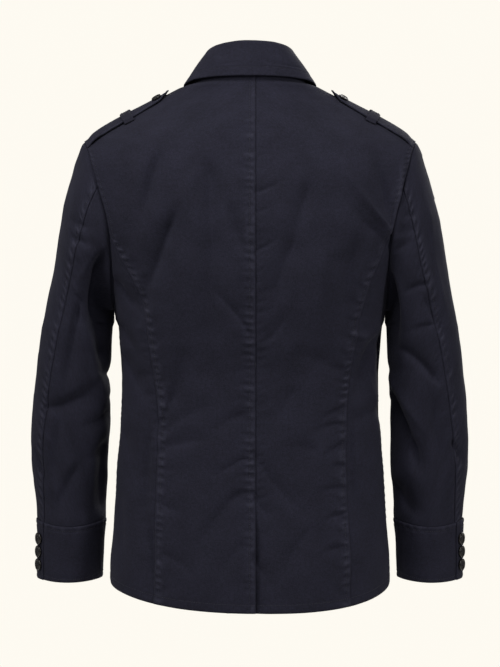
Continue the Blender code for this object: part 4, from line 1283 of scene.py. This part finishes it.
collar = {
    "standWidth": 52.5, "standBackY": 49.0, "standFrontY": -82.0, "middleY": -10.0,
    "rollBackZ": 42.3, "rollSideDrop": 8.0, "rollFrontDrop": 84.0, "rollRadius": 3.6,
    "rollShare": 0.16, "rollBend": 0.86, "rollGap": 0.4, "standGap": 0.8, "standEnd": 0.965,
    "fallWidth": 89.5, "fallBackY": 66.4, "fallFrontY": -112.0, "fallSideY": -8.0,
    "fallBackZ": -1.4, "fallSideDrop": 7.8, "fallFrontDrop": 98.0, "fallBelly": 0.6,
    "fallEnd": 0.86, "fallWall": 2.0, "columns": 260, "fallRows": 42, "standRows": 10, "stitch": 12.5,
    "fallFlat": (0.50, 0.075), "fallArea": 0.033, "standFlat": (0.42, 0.045), "standArea": 0.016,
    "standProud": 0.9, "standColumns": 120, "endStitch": 6.0, "endRows": slice(12, -8),
    "creases": {"columns": creaseColumns, "rows": (  # x along the leaf, z up from its edge
        (78, 18, 14, 21, 2, 2.2, 3.0, -0.7),
        (70, 15, 20, 16, 1, 1.5, 2.5, 0.35),
        (-20, 19, -62, 17, 1, 2.5, 3.5, -0.35),
        (40, 30, 10, 44, 1, 6, 8, -0.6),
        (-30, 28, -60, 40, 1, 6, 8, -0.5),
        (-8, 24, -4, 44, 1, 5, 7, -0.4),
    )},
}


def frontShare(turn):
    return np.maximum(-np.cos(turn), 0.0) ** body["neckPower"]


def neckRing(turn, width, backY, frontY, sideY, z):
    reach = np.where(np.cos(turn) > 0, backY - sideY, sideY - frontY)
    return stack(width * np.sin(turn), sideY + reach * np.cos(turn), z)


def neckSeam(turn):
    z = neckHeight(turn)
    angle = angleAt(body["neckHalfWidth"] * np.abs(np.sin(turn)), z)
    rear, fore = bodyPoint(angle, z, "back"), bodyPoint(angle, z, "front")
    place = np.where((np.abs(turn) <= pi / 2)[..., None], rear, fore)
    place[..., 0] *= np.where(turn < 0, -1, 1)
    return place


def rollLine(turn):
    drop = collar["rollSideDrop"] * (1 - np.maximum(np.cos(turn), 0))
    z = collar["rollBackZ"] - drop - collar["rollFrontDrop"] * frontShare(turn)
    return neckRing(turn, collar["standWidth"], collar["standBackY"], collar["standFrontY"],
                    collar["middleY"], z)


def fallEdge(turn):
    drop = collar["fallSideDrop"] * (1 - np.maximum(np.cos(turn), 0)) ** 2
    z = collar["fallBackZ"] - drop - collar["fallFrontDrop"] * frontShare(turn) ** 0.9
    return neckRing(turn, collar["fallWidth"], collar["fallBackY"], collar["fallFrontY"],
                    collar["fallSideY"], z)


def standPlace(turn, s):
    base = neckSeam(turn)
    base[..., 2] += collar["standGap"]
    return lerp(base, rollLine(turn), s[..., None])


def fallPlace(turn, s):
    outward = stack(np.sin(turn), np.cos(turn), 0)
    up = np.array((0, 0, 1.0))
    crown = rollLine(turn) + outward * (collar["rollRadius"] - 1.0) + up * collar["rollGap"]
    bend = pi * collar["rollBend"] * np.minimum(s / collar["rollShare"], 1)
    rolled = crown + (up * np.sin(bend)[..., None]
                      - outward * np.cos(bend)[..., None]) * collar["rollRadius"]
    share = lerp(1.0, collar["fallEnd"], ease(np.abs(turn) / collar["standEnd"] / pi * 1.6 - 0.6))
    t = np.clip((s - collar["rollShare"]) / (1 - collar["rollShare"]), 0, 1)[..., None]
    return lerp(rolled, fallEdge(turn * share), t) + outward * collar["fallBelly"] * np.sin(pi * t)


def collarSheet(surface, rows, columns):
    end = pi * collar["standEnd"]
    turn, s = np.meshgrid(np.linspace(-end, end, columns + 1), rows)
    points = surface(turn, s)
    steps = np.linalg.norm(np.diff(points, axis=1), axis=-1)
    run = np.concatenate((np.zeros((len(rows), 1)), np.cumsum(steps, axis=1)), axis=1)
    away = stack(np.sin(turn), np.cos(turn), 0.3 + 0 * turn)
    return {"points": points, "param": turn, "rows": rows, "start": run,
            "end": run[:, -1:] - run, "along": upward(points),
            "normals": orient(gridNormals(points), away)}


def makeCollar():
    stitches = bmesh.new()
    rows = np.linspace(0, 1, collar["standRows"] + 1)
    sheet = collarSheet(standPlace, rows, collar["standColumns"])
    displace(sheet, collar["standProud"] + 0.3 * crumple(sheet["start"], sheet["along"], 151))
    clothPiece("collar_stand_cloth", sheet, clothWall["collar"], ["collar_stand"])

    rows = np.concatenate((np.linspace(0, collar["rollShare"], 9),
                           np.linspace(collar["rollShare"], 1, collar["fallRows"] + 1)[1:]))
    sheet = collarSheet(fallPlace, rows, collar["columns"])
    edge = sheet["along"][-1:] - sheet["along"]
    sheet["edge"] = edge
    run = sheet["start"] - sheet["start"].mean(axis=1, keepdims=True)
    offset = collar["fallWall"] + 0.7 * crumple(run, edge, 153)
    offset += groove(edge, collar["stitch"], 1.2, 0.35) - 0.55 * np.exp(-(edge / 1.0) ** 2)
    offset += puckers(edge, run, 13, 0.10, 8, 7, 155, slant=0.5)
    offset += (puckers(sheet["start"], edge, 10, 0.2, 5, 5, 157)
               + puckers(sheet["end"], edge, 10, 0.2, 5, 5, 158))
    offset -= 0.5 * np.exp(-(sheet["start"] / 1.0) ** 2) + 0.5 * np.exp(-(sheet["end"] / 1.0) ** 2)
    offset += creaseDepth(collar["creases"], -run, edge)
    displace(sheet, offset)
    sheet["wear"] = 0.3 * ridgeWear(sheet, ("edge",), 10)
    sewRow(stitches, *trace(sheet, "edge", collar["stitch"], byColumn=True), skip=6)
    for field in ("start", "end"):
        line, up = trace(sheet, field, collar["endStitch"])
        sewRow(stitches, line[collar["endRows"]], up[collar["endRows"]])
    clothPiece("collar_fall_cloth", sheet, clothWall["collar"], ["collar_fall"])
    sewnPiece("collar_topstitching", stitches)
    print("collar made")


# ---- shoulder straps and their loops

strap = {
    "endCurve": 4.5, "tipX": 108.0, "rootX": 222.0, "lowestZ": -101.0,
    "columns": 84, "rows": 30, "stitch": 4.6, "length": 112,
    "flat": (0.058, 0.135), "area": 0.0066,
    "loopX": 168.0, "loopWidth": 13.0, "loopReach": 31.0, "loopLean": 7.0, "loopLift": 2.7,
    "loopLength": 66, "loopFlat": (0.075, 0.014), "loopArea": 0.00092,
    "tackLines": (2.2, 5.4, 8.0, 11.0), "tackParts": (slice(30, 42), slice(20, 26)),
    "buttonX": 124.5, "buttonBack": 9.0,
}
strapCurve = tableCurves({
    "columns": ("x", "halfWidth", "centre", "lift"),
    "rows": (
        (108, 3, 4, 6.0), (113, 12, 4, 5.0), (121, 19, 4, 3.6), (138, 22, 4.5, 3.0),
        (162, 25, 6, 2.8), (188, 27, 7.5, 2.8), (211, 28, 8.5, 2.3), (226, 28.5, 9, -2.6),
    ),
})


def shoulderZ(x, y):
    low = np.full(np.broadcast(x, y).shape, strap["lowestZ"])
    high = np.full_like(low, body["neckBackZ"])
    for _ in range(40):
        z = (low + high) / 2
        power = torso["power"](z)
        depth = np.where(y >= 0, torso["back"](z), torso["front"](z))
        inside = (x / torso["width"](z)) ** power + (np.abs(y) / depth) ** power < 1
        low, high = np.where(inside, z, low), np.where(inside, high, z)
    return low


def shoulderPlace(x, y, lift):
    step = 1.5
    slopeX = (shoulderZ(x + step, y) - shoulderZ(x - step, y)) / (2 * step)
    slopeY = (shoulderZ(x, y + step) - shoulderZ(x, y - step)) / (2 * step)
    normal = unit(stack(-slopeX, -slopeY, 1.0))
    return stack(x, y, shoulderZ(x, y)) + normal * lift[..., None], normal


def strapSheet():
    u, w = np.meshgrid(np.linspace(0, 1, strap["columns"] + 1), np.linspace(0, 1, strap["rows"] + 1))
    across = 2 * w - 1
    across = np.sign(across) * (1 - (1 - np.abs(across)) ** 1.15)
    x = lerp(strap["rootX"] - strap["endCurve"] * across ** 2 * (1 - u), strap["tipX"], u)
    half = strapCurve["halfWidth"](x)
    y = strapCurve["centre"](x) + half * across
    points, normals = shoulderPlace(x, y, strapCurve["lift"](x))
    rim = half * (1 - np.abs(across))
    rim = np.minimum(rim, (x - strap["tipX"]) * 0.8 + 0.3)
    run = u * strap["length"]
    sheet = {"points": points, "normals": normals, "start": run, "end": strap["length"] - run,
             "along": half * (1 + across), "rows": w[:, 0], "rim": rim}
    offset = 0.5 * np.exp(-((rim - 2.4) / 2.4) ** 2) - 0.55 * np.exp(-(rim / 0.8) ** 2)
    offset += groove(rim, strap["stitch"], 0.9, 0.35)
    offset += puckers(rim, run + 60 * (across > 0), 9.0, 0.2, 4, 4, 171)
    offset += 0.35 * crumple(run, y, 173)
    displace(sheet, offset)
    sheet["wear"] = 0.8 * ridgeWear(sheet, ("rim",), 5)
    return sheet


def loopSheet():
    u, w = np.meshgrid(np.linspace(0, 1, 57), np.linspace(0, 1, 15))
    across = 2 * u - 1
    bent = strap["loopLean"] * np.abs(across) ** 1.6
    x = strap["loopX"] - bent + (w - 0.5) * strap["loopWidth"]
    y = strapCurve["centre"](strap["loopX"]) + strap["loopReach"] * across
    settle = ease((np.abs(across) - 0.86) / 0.14)
    lift = lerp(strapCurve["lift"](np.array(strap["loopX"])) + strap["loopLift"], 2.2, settle)
    points, normals = shoulderPlace(x, y, lift)
    away = np.minimum(w, 1 - w) * strap["loopWidth"]
    sheet = {"points": points, "normals": normals, "start": u * strap["loopLength"],
             "end": (1 - u) * strap["loopLength"], "along": w * strap["loopWidth"],
             "rows": w[:, 0]}
    offset = 0.35 * np.exp(-((away - 1.6) / 1.5) ** 2) - 0.5 * np.exp(-(away / 0.8) ** 2)
    displace(sheet, offset + 0.2 * crumple(sheet["start"], sheet["along"], 175))
    return sheet


def makeStraps():
    stitches, tacks = bmesh.new(), bmesh.new()
    for side in (1, -1):
        sheet = mirror(strapSheet(), side)
        half = len(sheet["rim"]) // 2
        for part in (slice(0, half + 1), slice(half, None)):
            piece = {name: sheet[name][part] for name in ("points", "normals", "rim")}
            line, up = trace(piece, "rim", strap["stitch"], byColumn=True)
            sewRow(stitches, line[2:], up[2:], pitch=2.6, length=1.9, thick=0.38)
        clothPiece("epaulette_%s_cloth" % sideName(side), sheet, clothWall["strap"],
                   ["epaulette_" + sideName(side)])
        sheet = mirror(loopSheet(), side)
        for value in strap["tackLines"]:
            line, up = trace(sheet, "along", value, byColumn=True)
            for part in strap["tackParts"]:
                sewRow(tacks, line[part], up[part], pitch=1.9, length=1.5, thick=0.5)
        clothPiece("epaulette_loop_%s_cloth" % sideName(side), sheet, clothWall["loop"],
                   ["epaulette_loop_" + sideName(side)],
                   loopTwillPaintedShade)
    sewnPiece("epaulette_topstitching", stitches)
    sewnPiece("epaulette_bar_tacks", tacks, brownThread)
    print("shoulder straps made")


# ---- buttons

buttons = {
    "cuff": {"radius": 8.3, "height": 3.4, "standOff": 0.5, "holeRadius": 0.95, "holeAt": 1.75},
    "front": {"radius": 10.0, "height": 3.6, "standOff": 0.5, "holeRadius": 1.1, "holeAt": 2.1},
    "strap": {"radius": 7.0, "height": 2.6, "standOff": 0.4, "holeRadius": 0.8, "holeAt": 1.5},
}
frontButtonZ = (-102.0, -212.0, -322.0, -432.0, -542.0)


def buttonMesh(kind):
    # turned blank with a rolled rim and a dished face, drilled with four holes
    size = buttons[kind]
    r, h = size["radius"], size["height"]
    outline = (
        (0.0, 0.0), (0.70, 0.0), (0.86, 0.05), (0.96, 0.28), (1.0, 0.55), (0.985, 0.78),
        (0.94, 0.93), (0.87, 1.0), (0.79, 0.98), (0.72, 0.86), (0.66, 0.76), (0.52, 0.70),
        (0.26, 0.66), (0.0, 0.65),
    )
    mesh = bmesh.new()
    places = [mesh.verts.new((x * r, 0, y * h)) for x, y in outline]
    edges = [mesh.edges.new(pair) for pair in zip(places, places[1:])]
    bmesh.ops.spin(mesh, geom=places + edges, cent=(0, 0, 0), axis=(0, 0, 1), angle=2 * pi,
                   steps=40, use_merge=True)
    bmesh.ops.remove_doubles(mesh, verts=mesh.verts, dist=0.01)
    bmesh.ops.recalc_face_normals(mesh, faces=mesh.faces)
    blank = bpy.data.meshes.new("blank")
    mesh.to_mesh(blank)
    mesh.free()
    drills = bmesh.new()
    for i in range(4):
        angle = pi / 4 + i * pi / 2
        spot = Matrix.Translation((np.cos(angle) * size["holeAt"], np.sin(angle) * size["holeAt"], h / 2))
        bmesh.ops.create_cone(drills, cap_ends=True, segments=14, radius1=size["holeRadius"],
                              radius2=size["holeRadius"], depth=h * 3, matrix=spot)
    drill = bpy.data.meshes.new("drills")
    drills.to_mesh(drill)
    drills.free()
    blankPiece = bpy.data.objects.new("blank", blank)
    tool = bpy.data.objects.new("drills", drill)
    for thing in (blankPiece, tool):
        bpy.context.scene.collection.objects.link(thing)
    cut = blankPiece.modifiers.new("holes", "BOOLEAN")
    cut.operation, cut.object, cut.solver = "DIFFERENCE", tool, "EXACT"
    graph = bpy.context.evaluated_depsgraph_get()
    drilled = bpy.data.meshes.new_from_object(blankPiece.evaluated_get(graph))
    for thing in (blankPiece, tool):
        bpy.data.objects.remove(thing, do_unlink=True)
    return drilled


def threadMesh(kind):
    # two bars of thread over the holes and the shank beneath
    size = buttons[kind]
    at = size["holeAt"] * np.sin(pi / 4)
    top = size["height"] * 0.66
    mesh = bmesh.new()
    for row in (-1, 1):
        for strand in (-0.42, 0.0, 0.42):
            place = Matrix.Translation((0, row * at + strand, top + 0.05)) @ Matrix.Diagonal(
                (at * 2.5, 0.5, 0.85, 1))
            bmesh.ops.create_uvsphere(mesh, u_segments=10, v_segments=6, radius=0.5, matrix=place)
    shank = Matrix.Translation((0, 0, -0.2))
    bmesh.ops.create_cone(mesh, cap_ends=True, segments=12, radius1=size["holeAt"] + 0.7,
                          radius2=size["holeAt"] + 0.3, depth=size["standOff"] + 0.8, matrix=shank)
    data = bpy.data.meshes.new("thread")
    mesh.to_mesh(data)
    mesh.free()
    return data


def placeButton(name, kind, place, normal, spin, master, thread, threads):
    size = buttons[kind]
    facing = Vector(normal).to_track_quat("Z", "Y").to_matrix().to_4x4()
    turned = Matrix.Translation(Vector(place + normal * size["standOff"])) @ facing @ Matrix.Rotation(
        spin, 4, "Z")
    data = master.copy()
    data.name = name
    data.transform(Matrix.Scale(mm, 4) @ turned)
    data.shade_smooth()
    data.set_sharp_from_angle(angle=radians(50))
    data.materials.clear()
    data.materials.append(darkHorn)
    piece = bpy.data.objects.new(name + "_horn", data)
    bpy.context.scene.collection.objects.link(piece)
    finishPiece(piece, [name])
    sewn = thread.copy()
    sewn.transform(turned)
    threads.from_mesh(sewn)
    bpy.data.meshes.remove(sewn)


def makeButtons():
    threads = bmesh.new()
    masters = {kind: (buttonMesh(kind), threadMesh(kind)) for kind in buttons}
    for side in (1, -1):
        sheet = cuffSheet(side)
        column = int(np.argmin(np.abs(sheet["param"][0] - 2 - cuff["buttonTurn"])))
        for i, z in enumerate(cuff["buttonZ"]):
            row = int(np.argmin(np.abs(sheet["points"][:, column, 2] - z)))
            place = sheet["base"][row, column] + sheet["normals"][row, column] * (cuff["proud"] + 0.9)
            normal = sheet["normals"][row, column].copy()
            flip = np.array((side, 1, 1))
            name = "cuff_button_%s_%d" % (sideName(side), i + 1)
            placeButton(name, "cuff", place * flip, normal * flip, 0.3 + 0.7 * i,
                        *masters["cuff"], threads)
        x, y = np.array(strap["buttonX"]), strapCurve["centre"](np.array(strap["buttonX"]))
        place, normal = shoulderPlace(x, y + strap["buttonBack"], strapCurve["lift"](x))
        flip = np.array((side, 1, 1))
        placeButton("epaulette_button_" + sideName(side), "strap", place * flip, normal * flip,
                    0.5, *masters["strap"], threads)
    sheet = frontSheet(1)
    middle, up = trace({"points": sheet["points"], "normals": sheet["normals"],
                        "x": sheet["points"][..., 0]}, "x", 0.0)
    for i, z in enumerate(frontButtonZ):
        spot = int(np.argmin(np.abs(middle[:, 2] - z)))
        placeButton("front_button_%d" % (i + 1), "front", middle[spot], up[spot], 0.2 + 0.5 * i,
                    *masters["front"], threads)
    holes = bmesh.new()
    for z in frontButtonZ:
        spot = int(np.argmin(np.abs(middle[:, 2] - z)))
        row = int(np.argmin(np.abs(sheet["points"][:, 12, 2] - middle[spot][2])))
        line, up = sheet["points"][row], sheet["normals"][row]
        near = (line[:, 0] > -15) & (line[:, 0] < 12)
        for shift in (-1.1, 1.1):
            moved = line[near] + np.array((0, 0, shift))
            sewRow(holes, moved, up[near], pitch=0.9, length=0.7, thick=0.9, sink=0.3)
    sewnPiece("front_buttonholes", holes)
    sewnPiece("button_threads", threads)
    print("buttons made")


# ---- floor, light and camera

stage = {
    "cream": (0.989, 0.957, 0.883, 1), "floorZ": -0.97,
    "cameraAway": 3.0, "cameraZ": -0.344, "halfHeight": 0.4535,
    "fillColour": (1.0, 0.985, 0.95, 1), "fillStrength": 0.145, "lampsAim": (0, 0, -0.33),
}


def makeStage():
    bpy.ops.mesh.primitive_circle_add(vertices=96, radius=2.4, fill_type="NGON",
                                      location=(0, 0, stage["floorZ"]))
    floor = bpy.context.object
    floor.name = "floor"
    material = bpy.data.materials.new("paleFloor")
    material.use_nodes = True
    nodes, links = material.node_tree.nodes, material.node_tree.links
    shader = nodes["Principled BSDF"]
    shader.inputs["Base Color"].default_value = (0.9, 0.87, 0.8, 1)
    shader.inputs["Roughness"].default_value = 0.9
    shader.inputs["Emission Color"].default_value = stage["cream"]
    shader.inputs["Emission Strength"].default_value = 0.5
    place = nodes.new("ShaderNodeTexCoord")
    away = nodes.new("ShaderNodeVectorMath")
    away.operation = "LENGTH"
    fade = nodes.new("ShaderNodeMapRange")
    fade.interpolation_type = "SMOOTHSTEP"
    for name, value in (("From Min", 0.55), ("From Max", 1.15), ("To Min", 0.8), ("To Max", 0.0)):
        fade.inputs[name].default_value = value
    links.new(place.outputs["Object"], away.inputs[0])
    links.new(away.outputs["Value"], fade.inputs["Value"])
    links.new(fade.outputs["Result"], shader.inputs["Alpha"])
    floor.data.materials.append(material)
    floor.visible_diffuse = False


lampColour = (1.0, 0.985, 0.97)
lights = {
    # name: place, size, power
    "above": ((0.30, 0.90, 1.35), 0.9, 13.0),
    "upperLeft": ((2.3, 1.42, 0.7), 0.7, 16.5),
    "upperRight": ((-2.2, 1.75, 0.35), 0.9, 18.5),
    "behind": ((-0.8, -2.4, 0.6), 2.2, 40),
}


def makeLights():
    world = bpy.data.worlds.new("studio")
    bpy.context.scene.world = world
    world.use_nodes = True
    nodes, links = world.node_tree.nodes, world.node_tree.links
    seen, lit = nodes["Background"], nodes.new("ShaderNodeBackground")
    seen.inputs["Color"].default_value = stage["cream"]
    lit.inputs["Color"].default_value = stage["fillColour"]
    lit.inputs["Strength"].default_value = stage["fillStrength"]
    path, mix = nodes.new("ShaderNodeLightPath"), nodes.new("ShaderNodeMixShader")
    links.new(path.outputs["Is Camera Ray"], mix.inputs["Fac"])
    links.new(lit.outputs["Background"], mix.inputs[1])
    links.new(seen.outputs["Background"], mix.inputs[2])
    links.new(mix.outputs["Shader"], nodes["World Output"].inputs["Surface"])
    target = Vector(stage["lampsAim"])
    for name, (place, size, power) in lights.items():
        light = bpy.data.lights.new(name, "AREA")
        light.shape, light.size, light.energy, light.color = "DISK", size, power, lampColour
        lamp = bpy.data.objects.new(name, light)
        lamp.location = place
        lamp.rotation_euler = (target - Vector(place)).to_track_quat("-Z", "Y").to_euler()
        bpy.context.scene.collection.objects.link(lamp)


def makeCamera():
    data = bpy.data.cameras.new("camera")
    camera = bpy.data.objects.new("camera", data)
    camera.location = (0, stage["cameraAway"], stage["cameraZ"])
    camera.rotation_euler = (pi / 2, 0, pi)
    data.sensor_fit = "VERTICAL"
    data.sensor_height = 24
    data.sensor_width = 24
    data.angle = 2 * atan(stage["halfHeight"] / stage["cameraAway"])
    bpy.context.scene.collection.objects.link(camera)
    bpy.context.scene.camera = camera
    bpy.context.scene.view_settings.view_transform = "Standard"


makeCamera()
makeLights()
makeStage()
makeBack()
makeSideBack()
makeFront()
makeSleeves()
makeCuffs()
makeCollar()
makeStraps()
makeButtons()
